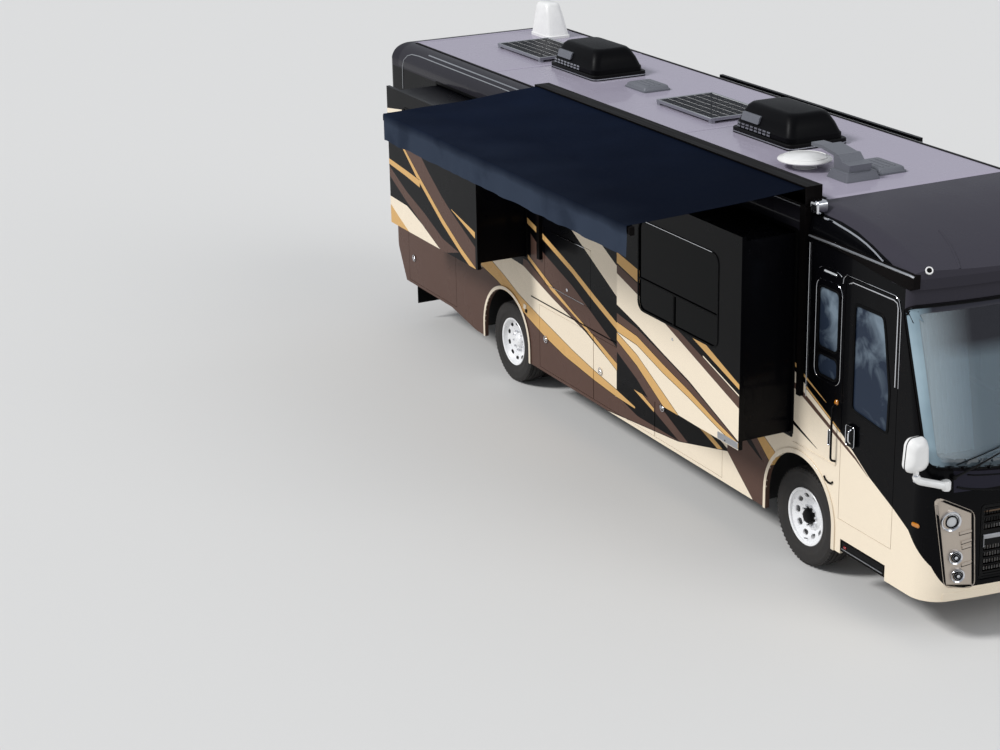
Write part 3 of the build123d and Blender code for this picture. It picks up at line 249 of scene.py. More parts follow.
def edge_height(tree, along, points):
    """Height of a painted edge at each place along the coach."""
    curve = node(tree, "ShaderNodeFloatCurve", {"Value": along})
    mapping = curve.mapping
    mapping.use_clip = False
    mapping.extend = "HORIZONTAL"
    line = mapping.curves[0]
    line.points[0].location = points[0]
    line.points[1].location = points[-1]
    for x, z in points[1:-1]:
        line.points.new(x, z)
    for point in line.points:
        point.handle_type = "VECTOR"
    mapping.update()
    return curve.outputs["Value"]


def beside_pillar(tree, y, start, end):
    """How near a place is to a windshield pillar: 0 up to the start, 1 from the end on."""
    return in_range(tree, maths(tree, "ABSOLUTE", y), start, end)


def holds(tree, tests):
    """1 where every test (value, operation, limit) holds, and 0 elsewhere."""
    mask = None
    for value, operation, limit in tests:
        passed = maths(tree, operation, value, limit)
        mask = passed if mask is None else maths(tree, "MULTIPLY", mask, passed)
    return mask


pin_line = 0.007


def livery(name, base, layers, coat=0.06, mapping=None):
    """Clear-coated paint: bands and covers laid over a base coat in their order.

    A band has a colour, its upper edge and its lower edge, both as (x, z) points, and whether it is
    pinned, with a thin line of the base coat along both edges. A cover has a colour and ranges of x,
    distance from the middle and z.
    """
    made, tree, shader, place = finish(
        name, base, coat_weight=coat, coat_roughness=0.04, specular_ior_level=0.05)
    if mapping:
        place = node(tree, "ShaderNodeMapping", {"Vector": place, **mapping}).outputs["Vector"]
    x, y, z = axes(tree, place)
    out = maths(tree, "ABSOLUTE", y)
    flakes_per_metre = 900.0
    shade = in_range(tree, cloudy(tree, place, flakes_per_metre, 1.0), 0.35, 0.65, 0.9, 1.08)
    colour = base
    for layer_colour, *limits in layers:
        if isinstance(limits[2], bool):
            upper, lower, pinned = limits
            top, foot = edge_height(tree, x, upper), edge_height(tree, x, lower)
            ends = ((x, (max(upper[0][0], lower[0][0]), min(upper[-1][0], lower[-1][0]))),)
            edges = [(maths(tree, "SUBTRACT", z, top), maths(tree, "SUBTRACT", z, foot))]
            coats = ((pin_line, base), (0.0, layer_colour)) if pinned else ((0.0, layer_colour),)
        else:
            ends, edges, coats = zip((x, out, z), limits), [], ((0.0, layer_colour),)
        tests = [(value, operation, limit) for value, pair in ends
                 for operation, limit in zip(("GREATER_THAN", "LESS_THAN"), pair) if limit is not None]
        for grow, coated in coats:
            between = [test for over, under in edges
                       for test in ((over, "LESS_THAN", grow), (under, "GREATER_THAN", -grow))]
            colour = mixed(tree, holds(tree, tests + between), colour, coated)
    flaked = node(tree, "ShaderNodeVectorMath", {0: colour, "Scale": shade}, operation="SCALE")
    tree.links.new(flaked.outputs["Vector"], shader.inputs["Base Color"])
    surface(tree, shader, place, 0.6, (0.24, 0.34))
    return made


# Shapes: a part of a piece is a run of equal loops, a finish and whether the run closes on itself

def rounded(x0, x1, z0, z1, radius, steps=5):
    """Rounded rectangle as (across, up) points, anticlockwise."""
    points = []
    corners = ((x1, z1, 0), (x0, z1, 90), (x0, z0, 180), (x1, z0, 270))
    for cx, cz, start in corners:
        cx += -radius if cx == x1 else radius
        cz += -radius if cz == z1 else radius
        for k in range(steps + 1):
            turn = radians(start + 90 * k / steps)
            points.append((cx + radius * cos(turn), cz + radius * sin(turn)))
    return points


def grown(points, distance):
    """A closed anticlockwise outline moved outwards, or inwards when the distance is negative."""
    moved = []
    for before, here, after in zip(points[-1:] + points[:-1], points, points[1:] + points[:1]):
        a = (Vector(here) - Vector(before)).normalized()
        b = (Vector(after) - Vector(here)).normalized()
        normal = Vector((a.y + b.y, -a.x - b.x))
        moved.append(tuple(Vector(here) + normal * (2 * distance / max(normal.length_squared, 0.5))))
    return moved


def on_side(side, face=half_body):
    """Places (x, z, height) that far outside a side of the body."""
    return lambda x, z, height: at(x, side * (face + height), z)


def on_top(level):
    """Places (x, y, height) above a level."""
    return lambda x, y, height: at(x, y, level + height)


def on_tail(face=tail_face):
    """Places (y, z, height) behind a face of the tail."""
    return lambda y, z, height: at(face - height, y, z)


def plate(points, to, height, bevel=0.003, low=-0.002):
    """Loops of a plate with a chamfered rim."""
    rim = grown(points, -bevel)
    return [[to(*p, low) for p in points], [to(*p, height - bevel) for p in points],
            [to(*p, height) for p in rim]]


def hoop(points, to, width, height, bevel=0.003, low=-0.002):
    """Loops of a frame that lies inside an outline."""
    inner = grown(points, -width)
    return [
        [to(*p, low) for p in points], [to(*p, height - bevel) for p in points],
        [to(*p, height) for p in grown(points, -bevel)], [to(*p, height) for p in grown(inner, bevel)],
        [to(*p, height - bevel) for p in inner], [to(*p, low) for p in inner],
    ]


def tube(path, radius, steps=10, squeeze=1.0):
    """Loops of a round bar along a path of points."""
    path = [Vector(p) for p in path]
    loops = []
    side = None
    for i, here in enumerate(path):
        ahead = (path[min(i + 1, len(path) - 1)] - path[max(i - 1, 0)]).normalized()
        if side is None:
            side = ahead.orthogonal().normalized()
        side = (side - ahead * side.dot(ahead)).normalized()
        up = ahead.cross(side)
        r = radius[i] if isinstance(radius, (list, tuple)) else radius
        turns = [2 * pi * k / steps for k in range(steps)]
        loops.append([here + side * (r * cos(t)) + up * (r * squeeze * sin(t)) for t in turns])
    return loops


def turned(centre, axis, profile, steps=40):
    """Loops of a turned shape: profile points are (distance along the axis, radius)."""
    axis = Vector(axis).normalized()
    side = axis.orthogonal().normalized()
    up = axis.cross(side)
    return [[Vector(centre) + axis * t + (side * cos(2 * pi * k / steps) + up * sin(2 * pi * k / steps)) * r
             for k in range(steps)] for t, r in profile]


def bent(points, radius, steps=4):
    """The same path with its corners rounded."""
    points = [Vector(p) for p in points]
    path = [points[0]]
    for before, here, after in zip(points, points[1:], points[2:]):
        a = here + (before - here).normalized() * radius
        b = here + (after - here).normalized() * radius
        for k in range(steps + 1):
            t = k / steps
            path.append(a * (1 - t) ** 2 + here * (2 * t * (1 - t)) + b * t * t)
    return path + [points[-1]]


def end_mesh(shape, mesh):
    """Writes a shape into a mesh, smooth and with its faces outwards."""
    bmesh.ops.recalc_face_normals(shape, faces=shape.faces)
    for face in shape.faces:
        face.smooth = True
    shape.to_mesh(mesh)
    shape.free()


def riding(name, mesh, body):
    """A new object that rides on a body."""
    made = bpy.data.objects.new(name, mesh)
    bpy.context.scene.collection.objects.link(made)
    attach(made, body)
    return made


def piece(name, body, parts, replaces=(), smooth=35):
    """One object from parts (loops, finish, closed), riding on a body."""
    mesh = bpy.data.meshes.new(name)
    shape = bmesh.new()
    materials = []
    for loops, key, *closed in parts:
        material = shared(key)
        if material not in materials:
            materials.append(material)
            mesh.materials.append(material)
        index = materials.index(material)
        rows = [[shape.verts.new(p) for p in loop] for loop in loops]
        pairs = list(zip(rows, rows[1:]))
        if closed and closed[0]:
            pairs.append((rows[-1], rows[0]))
        faces = []
        for a, b in pairs:
            count = len(a)
            for k in range(count):
                faces.append(shape.faces.new((a[k], a[(k + 1) % count], b[(k + 1) % count], b[k])))
        if not (closed and closed[0]):
            faces.append(shape.faces.new(list(reversed(rows[0]))))
            faces.append(shape.faces.new(rows[-1]))
        for face in faces:
            face.material_index = index
    bmesh.ops.remove_doubles(shape, verts=shape.verts, dist=1e-6)
    end_mesh(shape, mesh)
    mesh.set_sharp_from_angle(angle=radians(smooth))
    made = riding(name, mesh, body)
    if replaces:
        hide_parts(*replaces)
    return made


def grown_from_nodes(name, body, tree, **values):
    """Runs a geometry tree once with these inputs and keeps its result as a plain mesh on a body."""
    made = bpy.data.objects.new(name, bpy.data.meshes.new(name))
    bpy.context.scene.collection.objects.link(made)
    modifier = made.modifiers.new("grow", "NODES")
    modifier.node_group = tree
    for item in tree.interface.items_tree:
        if item.item_type == "SOCKET" and item.in_out == "INPUT" and item.name in values:
            modifier[item.identifier] = values[item.name]
    bpy.context.view_layer.update()
    result = bpy.data.meshes.new_from_object(made.evaluated_get(bpy.context.evaluated_depsgraph_get()))
    made.modifiers.clear()
    made.data = result
    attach(made, body)
    return made


# Geometry trees for what repeats

def new_tree(name, **sockets):
    """A geometry tree with its named inputs, each of a kind."""
    tree = bpy.data.node_groups.new(name, "GeometryNodeTree")
    for label, kind in sockets.items():
        tree.interface.new_socket(name=label, in_out="INPUT", socket_type=f"NodeSocket{kind}")
    tree.interface.new_socket(name="Geometry", in_out="OUTPUT", socket_type="NodeSocketGeometry")
    return tree


def end_tree(tree, given, geometry):
    """Ends a tree in real geometry with its material."""
    real = node(tree, "GeometryNodeRealizeInstances", {"Geometry": geometry})
    done = node(tree, "GeometryNodeSetMaterial", {"Geometry": real.outputs[0], "Material": given["Material"]})
    node(tree, "NodeGroupOutput", {0: done.outputs[0]})
    return tree


def ring_tree(name, nut):
    """Blocks, or six-sided nuts, set round a wheel's axle line."""
    tree = new_tree(name, Count="Int", Radius="Float", Centre="Vector", Size="Vector", Skew="Float",
                    Start="Float", Material="Material")
    given = node(tree, "NodeGroupInput").outputs
    index = node(tree, "GeometryNodeInputIndex").outputs[0]
    share = maths(tree, "DIVIDE", index, given["Count"])
    angle = maths(tree, "MULTIPLY_ADD", share, 2 * pi, given["Start"])
    across = maths(tree, "MULTIPLY", maths(tree, "COSINE", angle), given["Radius"])
    up = maths(tree, "MULTIPLY", maths(tree, "SINE", angle), given["Radius"])
    spot = node(tree, "ShaderNodeCombineXYZ", {"X": across, "Z": up})
    spot = node(tree, "ShaderNodeVectorMath", {0: spot.outputs[0], 1: given["Centre"]}, operation="ADD")
    points = node(tree, "GeometryNodePoints", {"Count": given["Count"], "Position": spot.outputs[0]})
    if nut:
        radius, depth, _ = axes(tree, given["Size"])
        shape = node(tree, "GeometryNodeMeshCylinder", {"Vertices": 6, "Radius": radius, "Depth": depth})
        shape = shape.outputs["Mesh"]
        lean = (pi / 2, 0, 0)
    else:
        shape = node(tree, "GeometryNodeMeshCube", {"Size": given["Size"]}).outputs["Mesh"]
        lean = node(tree, "ShaderNodeCombineXYZ", {"X": given["Skew"]}).outputs[0]
    shape = node(tree, "GeometryNodeTransform", {"Geometry": shape, "Rotation": lean})
    turn = node(tree, "ShaderNodeCombineXYZ", {"Y": maths(tree, "MULTIPLY", angle, -1.0)})
    placed = node(tree, "GeometryNodeInstanceOnPoints", {
        "Points": points.outputs[0], "Instance": shape.outputs[0], "Rotation": turn.outputs[0]})
    return end_tree(tree, given, placed.outputs[0])


def rows_tree(name):
    """Equal small blocks in rows and columns, on a plane turned as asked."""
    tree = new_tree(name, Length="Float", Width="Float", Columns="Int", Rows="Int", Block="Vector",
                    Centre="Vector", Turn="Vector", Material="Material")
    given = node(tree, "NodeGroupInput").outputs
    grid = node(tree, "GeometryNodeMeshGrid", {
        "Size X": given["Length"], "Size Y": given["Width"], "Vertices X": given["Columns"],
        "Vertices Y": given["Rows"]})
    block = node(tree, "GeometryNodeMeshCube", {"Size": given["Block"]})
    placed = node(tree, "GeometryNodeInstanceOnPoints",
                  {"Points": grid.outputs[0], "Instance": block.outputs[0]})
    moved = node(tree, "GeometryNodeTransform", {
        "Geometry": placed.outputs[0], "Translation": given["Centre"], "Rotation": given["Turn"]})
    return end_tree(tree, given, moved.outputs[0])


# Finishes

made_finishes = {}


def shared(name):
    """One finish by name."""
    return made_finishes[name]


def patterned(key, name, colour, size, rough, tints=(), relief=0.0, stretch=(1, 1, 1), fine=3.0, **values):
    """A finish whose roughness, relief and tint drift with one pattern, of a size in metres."""
    made_finishes[key], tree, shader, place = finish(name, rgba(colour), **values)
    pattern = surface(tree, shader, place, size, rough, relief, stretch, fine)
    if tints:
        tinted(tree, shader, pattern, *map(rgba, tints))


def make_plain_finishes(colours):
    """Every finish with a single pattern."""
    # Chrome-plated ABS trim: a hard mirror with a slightly wavy plating
    patterned("chrome", "chrome_plated_abs", "#d9dade", size=0.12, rough=(0.06, 0.14), relief=0.0002,
              metallic=1.0)

    # Lacquered bright aluminium of the wheels: nearly white in daylight, with a fine lathe haze
    patterned("alloy", "lacquered_bright_aluminium", "#f2f2f2", size=0.02, rough=(0.26, 0.34),
              tints=("#eaeaec", "#f7f7f7"), relief=0.0001, metallic=0.2)

    # Anodised aluminium of the awning and the step: dull silver, brushed along the extrusion
    patterned("anodised", "anodised_aluminium", "#b4b6ba", size=0.02, rough=(0.3, 0.45), relief=0.0002,
              stretch=(0.02, 1, 1), metallic=1.0)

    # Dark bronze anodising of the awning case and rails
    patterned("bronze", "dark_bronze_anodised", "#0a0809", size=0.03, rough=(0.4, 0.55),
              tints=("#070606", "#120f0f"), relief=0.0002, stretch=(0.03, 1, 1), metallic=0.1,
              specular_ior_level=0.04)

    # Semi-gloss chassis enamel with road film
    patterned("enamel", "chassis_enamel", "#17181a", size=0.15, rough=(0.4, 0.7),
              tints=("#121315", "#2c2a28"), relief=0.001)

    # Painted cast iron of the engine block: sand-cast grain
    patterned("iron", "painted_cast_iron", "#3b3d40", size=0.008, rough=(0.55, 0.75),
              tints=("#2f3134", "#484a4d"), relief=0.0008)

    # Carbon-filled tyre rubber: dusty, a little brown where the road wears it
    patterned("rubber", "tyre_rubber", "#1b1b1c", size=0.06, rough=(0.72, 0.92),
              tints=("#121213", "#2f2b28"), relief=0.0006)

    # Black window and door gaskets: EPDM, satin
    patterned("gasket", "epdm_gasket", "#060607", size=0.02, rough=(0.45, 0.6), relief=0.0003,
              specular_ior_level=0.08)

    # Powder-coated black steel: wipers, latches and brackets
    patterned("powder", "powder_coated_steel", "#09090a", size=0.004, rough=(0.38, 0.5), relief=0.0002,
              specular_ior_level=0.1)

    # Gloss black ABS of the grille and the hood panel under clear coat
    patterned("gloss", "gloss_black_abs", "#050506", size=0.3, rough=(0.2, 0.3), coat_weight=0.08,
              coat_roughness=0.05, specular_ior_level=0.1)

    # Satin black ABS shroud of the air conditioners
    patterned("shroud", "satin_abs_shroud", "#050506", size=0.006, rough=(0.32, 0.45),
              tints=("#040405", "#09090c"), relief=0.0004, specular_ior_level=0.06)

    # White gel-coated mouldings: mirrors, dish and dome
    patterned("white", "white_gelcoat", "#e9e8e6", size=0.08, rough=(0.3, 0.42), tints=("#dedddb", "#efeeec"),
              relief=0.0002, coat_weight=0.5, coat_roughness=0.08)

    # Cream base coat of the lips round the wheel arches, with stone dust in its clear coat
    patterned("lip", "arch_lip_paint", colours.cream, size=0.12, rough=(0.25, 0.4),
              tints=(darker(colours.cream, 0.88), colours.cream), coat_weight=0.16, coat_roughness=0.05,
              specular_ior_level=0.2)

    # Grey die-cast housings on the roof
    patterned("cast", "grey_die_casting", "#6c6e75", size=0.01, rough=(0.42, 0.6),
              tints=("#5f6168", "#7b7d84"), relief=0.0004, metallic=0.35)

    # Acrylic lenses
    for key, text in (("clear", "#e8ebee"), ("amber", "#e08a1c"), ("red", "#a81520")):
        patterned(key, f"acrylic_lens_{key}", text, size=0.01, rough=(0.08, 0.16), relief=0.0004, ior=1.49,
                  transmission_weight=0.35, coat_weight=0.8)

    # Silver reflector bowls of the lamps and glass of the mirrors: vacuum metallised
    patterned("reflector", "metallised_reflector", "#e6e2dc", size=0.03, rough=(0.12, 0.22), relief=0.0004,
              metallic=1.0)

    # Champagne silver paint of the headlamp housing
    patterned("champagne", "champagne_silver_paint", "#b7aa9c", size=0.004, rough=(0.3, 0.4),
              tints=("#a99b8d", "#c6bbae"), metallic=0.55, coat_weight=0.7, coat_roughness=0.06)

    # Rubber roof membrane: calendered sheet with a fine chalky bloom
    patterned("membrane", "roof_membrane", colours.membrane, size=0.9, rough=(0.55, 0.75),
              tints=(darker(colours.membrane, 0.9), darker(colours.membrane, 1.1)), relief=0.0006)

    # Monocrystalline cells behind glass
    patterned("cell", "monocrystalline_cell", "#05060a", size=0.05, rough=(0.3, 0.4),
              tints=("#040509", "#0a0d16"), specular_ior_level=0.03)

    # Moulded dashboard skin: fine leather grain
    patterned("dash", "grained_dash_skin", "#3a3634", size=0.004, rough=(0.5, 0.65),
              tints=("#322f2d", "#45413e"), relief=0.0005)

    # Tan seat leather with a soft pull and fine pores
    patterned("leather", "tan_seat_leather", "#a08a70", size=0.006, rough=(0.42, 0.58),
              tints=("#927c63", "#ad987e"), relief=0.0006)

    # Vinyl plank floor with grain along the coach
    patterned("plank", "vinyl_plank_floor", "#6b5340", size=0.05, rough=(0.35, 0.5),
              tints=("#574231", "#82684f"), relief=0.0004, stretch=(0.06, 1, 1), fine=6.0)

    # Roto-moulded black tray plastic under the compartments
    patterned("tray", "moulded_tray_plastic", "#1d1d1e", size=0.03, rough=(0.5, 0.7),
              tints=("#171718", "#2a2a2b"), relief=0.0008)

    # Pleated polyester curtain behind the glass
    patterned("curtain", "pleated_curtain", "#f0f3f6", size=0.03, rough=(0.8, 0.95),
              tints=("#dfe5ea", "#fafbfc"), relief=0.001, stretch=(1, 1, 0.05), sheen_weight=0.1)


# Heights between which the windshield's shade band fades in
shade_band = (2.58, 2.74)


def make_glass():
    """Glass of the rooms, the windshield and its bonded edge."""
    # Tinted tempered glass: nearly black privacy tint on the rooms; round the cab a blue-grey with a painted
    # sky reflection in clouds, stronger towards the top
    made_finishes["glass"], tree, shader, place = finish(
        "tinted_tempered_glass", linear("#030405"), ior=1.52, specular_ior_level=0.04,
        transmission_weight=0.05)
    x, _, z = axes(tree, place)
    # Painted reflection: clouds of sky on the cab glass, stronger higher up
    haze = cloudy(tree, place, 3.4, 5.0, 0.6)
    sky_reflection = in_range(tree, maths(tree, "MULTIPLY", haze, in_range(tree, z, 2.2, 3.0, 0.9, 1.35)), 0.48, 0.8)
    cab = mixed(tree, sky_reflection, linear("#27303f"), linear("#75838f"))
    tinted(tree, shader, maths(tree, "GREATER_THAN", x, 0.1), linear("#030405"), cab)
    surface(tree, shader, place, 0.5, (0.03, 0.07))

    # Laminated windshield: pale blue, with a painted sky reflection that makes it paler beside the pillars,
    # and a dark shade band along its top
    made_finishes["screen"], tree, shader, place = finish(
        "laminated_windshield", linear("#aebfd4"), ior=1.52, transmission_weight=0.72,
        specular_ior_level=0.45)
    _, y, z = axes(tree, place)
    shade = mixed(tree, in_range(tree, z, *shade_band), linear("#9db0bc"), linear("#3a3a46"))
    # Painted reflection: paler towards the pillars
    tinted(tree, shader, beside_pillar(tree, y, 0.7, 1.19), shade, linear("#e2f0f6"))
    surface(tree, shader, place, 0.6, (0.02, 0.05))

    # Bonded edge of the windshield: dark along its foot and top, and pale and cloudy over the pillars, a
    # painted sky reflection
    made_finishes["lap"], tree, shader, place = finish(
        "bonded_windshield_edge", linear("#8fa6b2"), ior=1.52, specular_ior_level=0.3)
    _, y, z = axes(tree, place)
    # Painted reflection: pale, cloudy blue over the pillars
    pale = mixed(tree, cloudy(tree, place, 2.2, 3.0), linear("#6d828e"), linear("#a3b8c2"))
    low = mixed(tree, in_range(tree, z, 1.74, 1.82), linear("#3f494f"), linear("#62727b"))
    band = mixed(tree, in_range(tree, z, *shade_band), low, linear("#2b2b34"))
    tinted(tree, shader, beside_pillar(tree, y, 1.06, 1.2), band, pale)
    surface(tree, shader, place, 0.6, (0.05, 0.1))


def make_cloth(colour):
    """Solution-dyed acrylic awning cloth: plain weave drawn at 4 mm, because the real 0.5 mm can't show."""
    made_finishes["cloth"], tree, shader, place = finish(
        "woven_acrylic_cloth", colour, specular_ior_level=0.02, roughness=0.9)
    x, y, z = axes(tree, place)
    thread = 0.004
    warp, weft = (maths(tree, "SINE", maths(tree, "MULTIPLY", axis, 2 * pi / thread)) for axis in (x, y))
    raised(tree, shader, maths(tree, "MULTIPLY", warp, weft), 0.0004, 0.5)
    # The cloth is darker to the front, a painted shade, and its hanging edge is lighter, a painted highlight
    # where the sun lights the valance
    blotch = cloudy(tree, place, 1.6, 4.0)
    blend = mixed(tree, blotch, darker(colour, 0.7), darker(colour, 1.45))
    # Painted shade: darker towards the front of the awning
    blend = mixed(tree, in_range(tree, x, -4.4, -0.4, 0.0, 0.75), blend, darker(colour, 0.45))
    uneven = in_range(tree, blotch, 0.35, 0.65, 0.65, 1.3)
    # Painted light: the hanging edge is lighter, unevenly, like the sunlit valance
    lit_hem = maths(tree, "MULTIPLY", in_range(tree, z, 3.72, 3.6), uneven)
    tinted(tree, shader, lit_hem, blend, linear("#323a48"))


# Bands of the livery as (x, z) points, read from the photograph: colour, upper edge, lower edge, pinned
wall_bands = (
    ("brown", ((-9.43, 1.9), (-6.9, 1.45), (-6.6, 1.38), (-6.2, 1.26), (-5.6, 1.1), (-4.5, 0.86),
               (-3.5, 0.66), (-3.05, 0.56), (-0.78, 0.56)),
     ((-9.43, 0.3), (-0.78, 0.3)), False),
    ("cream", ((-9.43, 2.42), (-8.0, 2.26), (-7.2, 1.8), (-6.6, 1.62), (-5.7, 1.58), (-5.0, 1.38),
               (-4.5, 1.26), (-4.2, 1.19), (-3.5, 0.95)),
     ((-9.43, 1.3), (-7.0, 1.3), (-6.4, 1.25), (-5.85, 1.08), (-5.2, 0.9), (-4.5, 0.79), (-3.5, 0.63)),
     False),
    ("cream", ((-6.2, 3.36), (-5.0, 2.86), (-3.82, 2.3), (-3.5, 2.15), (-2.4, 1.62), (-1.6, 1.27),
               (-1.2, 1.08)),
     ((-6.2, 3.15), (-4.5, 2.3), (-3.5, 1.8), (-2.4, 1.25), (-1.6, 0.92), (-1.2, 0.78)), False),
    ("brown", ((-5.5, 2.02), (-5.2, 1.87), (-4.5, 1.65), (-3.7, 1.3), (-2.9, 0.96), (-2.0, 0.6)),
     ((-5.5, 1.72), (-4.5, 1.35), (-4.2, 1.26), (-3.5, 1.03), (-2.9, 0.8), (-2.0, 0.5)), True),
    ("gold", ((-9.42, 2.6), (-8.0, 2.476)), ((-9.42, 2.53), (-8.0, 2.408)), True),
    ("brown", ((-9.42, 2.52), (-8.0, 2.38)), ((-9.42, 2.42), (-8.0, 2.26)), False),
    ("gold", ((-5.6, 2.2), (-5.22, 2.1), (-4.5, 1.87), (-4.0, 1.68), (-3.5, 1.5), (-2.41, 1.13), (-1.4, 0.78),
              (-0.9, 0.6)),
     ((-5.6, 2.13), (-5.22, 2.03), (-4.5, 1.8), (-4.0, 1.6), (-3.5, 1.42), (-2.41, 1.05), (-1.4, 0.72),
      (-0.9, 0.57)), True),
    ("gold", ((-5.58, 1.75), (-5.0, 1.52), (-4.5, 1.35), (-4.2, 1.26), (-3.5, 1.03), (-2.7, 0.76)),
     ((-5.58, 1.7), (-5.0, 1.46), (-4.5, 1.29), (-4.2, 1.22), (-3.5, 0.95), (-2.7, 0.72)), True),
    ("brown", ((-5.7, 1.7), (-5.0, 1.46), (-4.4, 1.29), (-4.2, 1.22)),
     ((-5.7, 1.58), (-5.0, 1.38), (-4.4, 1.25), (-4.2, 1.215)), False),
    ("gold", ((-7.0, 1.37), (-6.6, 1.45), (-6.2, 1.33), (-5.85, 1.2), (-5.3, 1.06), (-4.5, 0.88),
              (-4.0, 0.79), (-3.5, 0.72), (-3.1, 0.65)),
     ((-7.0, 1.33), (-6.4, 1.22), (-5.85, 1.05), (-5.6, 0.97), (-5.2, 0.86), (-4.7, 0.76), (-4.0, 0.68),
      (-3.5, 0.64), (-3.1, 0.63)), True),
    ("cream", ((-3.7, 0.41), (-2.2, 0.55), (-1.2, 0.78), (-0.78, 0.42)), ((-3.7, 0.36), (-0.78, 0.36)), True),
    ("brown", ((-1.25, 1.25), (-0.8, 1.25), (-0.3, 0.8)),
     ((-1.25, 0.77), (-1.035, 0.607), (-0.774, 0.415), (-0.3, 0.3)), False),
    # Black band under the front slide-out: partly a stripe, partly painted shade of the slide on the wall
    ("black", ((-1.2, 1.3), (-0.86, 1.07), (-0.62, 0.9)),
     ((-1.2, 1.18), (-0.86, 0.98), (-0.62, 0.88)), False),
    ("cream", ((-0.75, 1.34), (-0.1, 1.34)),
     ((-0.75, 1.23), (-0.546, 1.124), (-0.348, 1.023), (-0.1, 0.9)), False),
    ("gold", ((-0.75, 1.23), (-0.546, 1.124), (-0.348, 1.023), (-0.2, 0.95)),
     ((-0.75, 1.12), (-0.676, 1.065), (-0.475, 0.912), (-0.2, 0.7)), True),
    ("cream", ((-0.1, 1.98), (0.08, 1.9), (0.7, 1.59), (1.11, 1.33), (1.5, 1.15), (1.719, 1.033),
               (1.879, 0.854), (1.965, 0.755), (2.037, 0.574), (2.07, 0.53), (2.15, 0.525)),
     ((-0.1, 0.3), (2.15, 0.3)), False),
    ("gold", ((-0.1, 2.07), (0.42, 1.83)), ((-0.1, 2.03), (0.42, 1.825)), False),
    ("gold", ((0.08, 1.9), (0.65, 1.625)), ((0.08, 1.875), (0.65, 1.61)), True),
    ("brown", ((-0.1, 1.87), (0.0, 1.84), (0.9, 1.45), (1.1, 1.325)),
     ((-0.1, 1.81), (0.0, 1.78), (0.9, 1.42), (1.1, 1.32)), False),
    ("black", ((-0.1, 1.48), (0.3, 1.325)), ((-0.1, 1.44), (0.3, 1.32)), False),
)

# Edges that two bands of a room share have a name
cream_top = ((-2.42, 2.445), (-1.97, 2.319), (-1.5, 2.186), (-0.1, 1.71))
black_foot = ((-2.42, 2.016), (-2.0, 1.965), (-1.5, 1.835), (-1.0, 1.695), (-0.1, 1.37))
brown_foot = ((-2.42, 1.919), (-2.0, 1.88), (-1.5, 1.737), (-1.0, 1.61), (-0.5, 1.457), (-0.1, 1.36))
front_room_bands = (
    ("cream", cream_top, ((-2.42, 1.807), (-2.0, 1.68), (-1.5, 1.44), (-1.2, 1.295), (-0.1, 1.28)), False),
    ("gold", ((-2.42, 2.67), (-1.97, 2.586), (-1.3, 2.42), (-0.735, 2.186), (-0.1, 1.95)),
     ((-2.42, 2.556), (-1.97, 2.451), (-1.25, 2.27), (-0.99, 2.186), (-0.1, 1.9)), True),
    ("brown", ((-2.42, 2.54), (-1.97, 2.435), (-1.25, 2.186), (-0.1, 1.82)), cream_top, False),
    ("cream", ((-0.75, 2.05), (-0.1, 1.845)), ((-0.75, 2.035), (-0.1, 1.83)), False),
    ("black", ((-2.42, 2.11), (-2.0, 2.005), (-1.5, 1.853), (-1.0, 1.714), (-0.1, 1.38)),
     black_foot, False),
    ("brown", black_foot, brown_foot, False),
    ("gold", brown_foot,
     ((-2.42, 1.819), (-2.0, 1.79), (-1.5, 1.65), (-1.0, 1.54), (-0.5, 1.41), (-0.1, 1.31)), True),
    ("gold", ((-2.42, 1.807), (-2.0, 1.68), (-1.5, 1.44), (-1.2, 1.295)),
     ((-2.42, 1.726), (-2.0, 1.567), (-1.5, 1.305), (-1.2, 1.155)), True),
    ("brown", ((-2.42, 1.72), (-2.0, 1.56), (-1.5, 1.3)), ((-2.42, 1.6), (-2.0, 1.42), (-1.5, 1.13)), False),
)
sweep_foot = ((-8.0, 3.0), (-7.5, 2.678), (-7.11, 2.43), (-6.5, 2.07), (-6.0, 1.82), (-5.57, 1.65))
rear_room_bands = (
    ("cream", ((-8.0, 2.0), (-7.5, 1.98), (-7.0, 1.824), (-6.5, 1.635)), ((-8.0, 1.6), (-6.5, 1.6)), False),
    ("cream", ((-8.0, 3.11), (-7.4, 3.19), (-6.5, 3.225)),
     ((-8.0, 3.05), (-7.4, 3.165), (-6.5, 3.22)), False),
    ("brown", ((-8.0, 3.03), (-7.5, 3.0), (-7.03, 2.678), (-6.85, 2.55), (-6.5, 2.33), (-6.25, 2.2),
               (-5.57, 1.9)), sweep_foot, False),
    ("gold", sweep_foot,
     ((-8.0, 2.96), (-7.57, 2.678), (-7.2, 2.41), (-6.5, 1.99), (-6.0, 1.745), (-5.57, 1.57)), True),
    ("gold", ((-8.0, 2.476), (-7.5, 2.43), (-7.11, 2.39)),
     ((-8.0, 2.408), (-7.5, 2.355), (-7.11, 2.3)), True),
    ("gold", ((-6.24, 2.232), (-5.57, 2.09)), ((-6.24, 2.225), (-5.57, 2.01)), False),
    ("brown", ((-8.0, 2.38), (-7.5, 2.162), (-7.0, 2.005), (-6.5, 1.81), (-6.07, 1.75)),
     ((-8.0, 2.26), (-7.5, 2.027), (-7.0, 1.824), (-6.5, 1.635), (-6.07, 1.745)), True),
    ("gold", ((-8.0, 1.895), (-7.75, 1.78), (-7.4, 1.63)), ((-8.0, 1.6), (-7.4, 1.6)), False),
)


def in_colours(colours, bands):
    """The bands with the colours that the user has set."""
    return [(tuple(getattr(colours, word)), upper, lower, pinned) for word, upper, lower, pinned in bands]


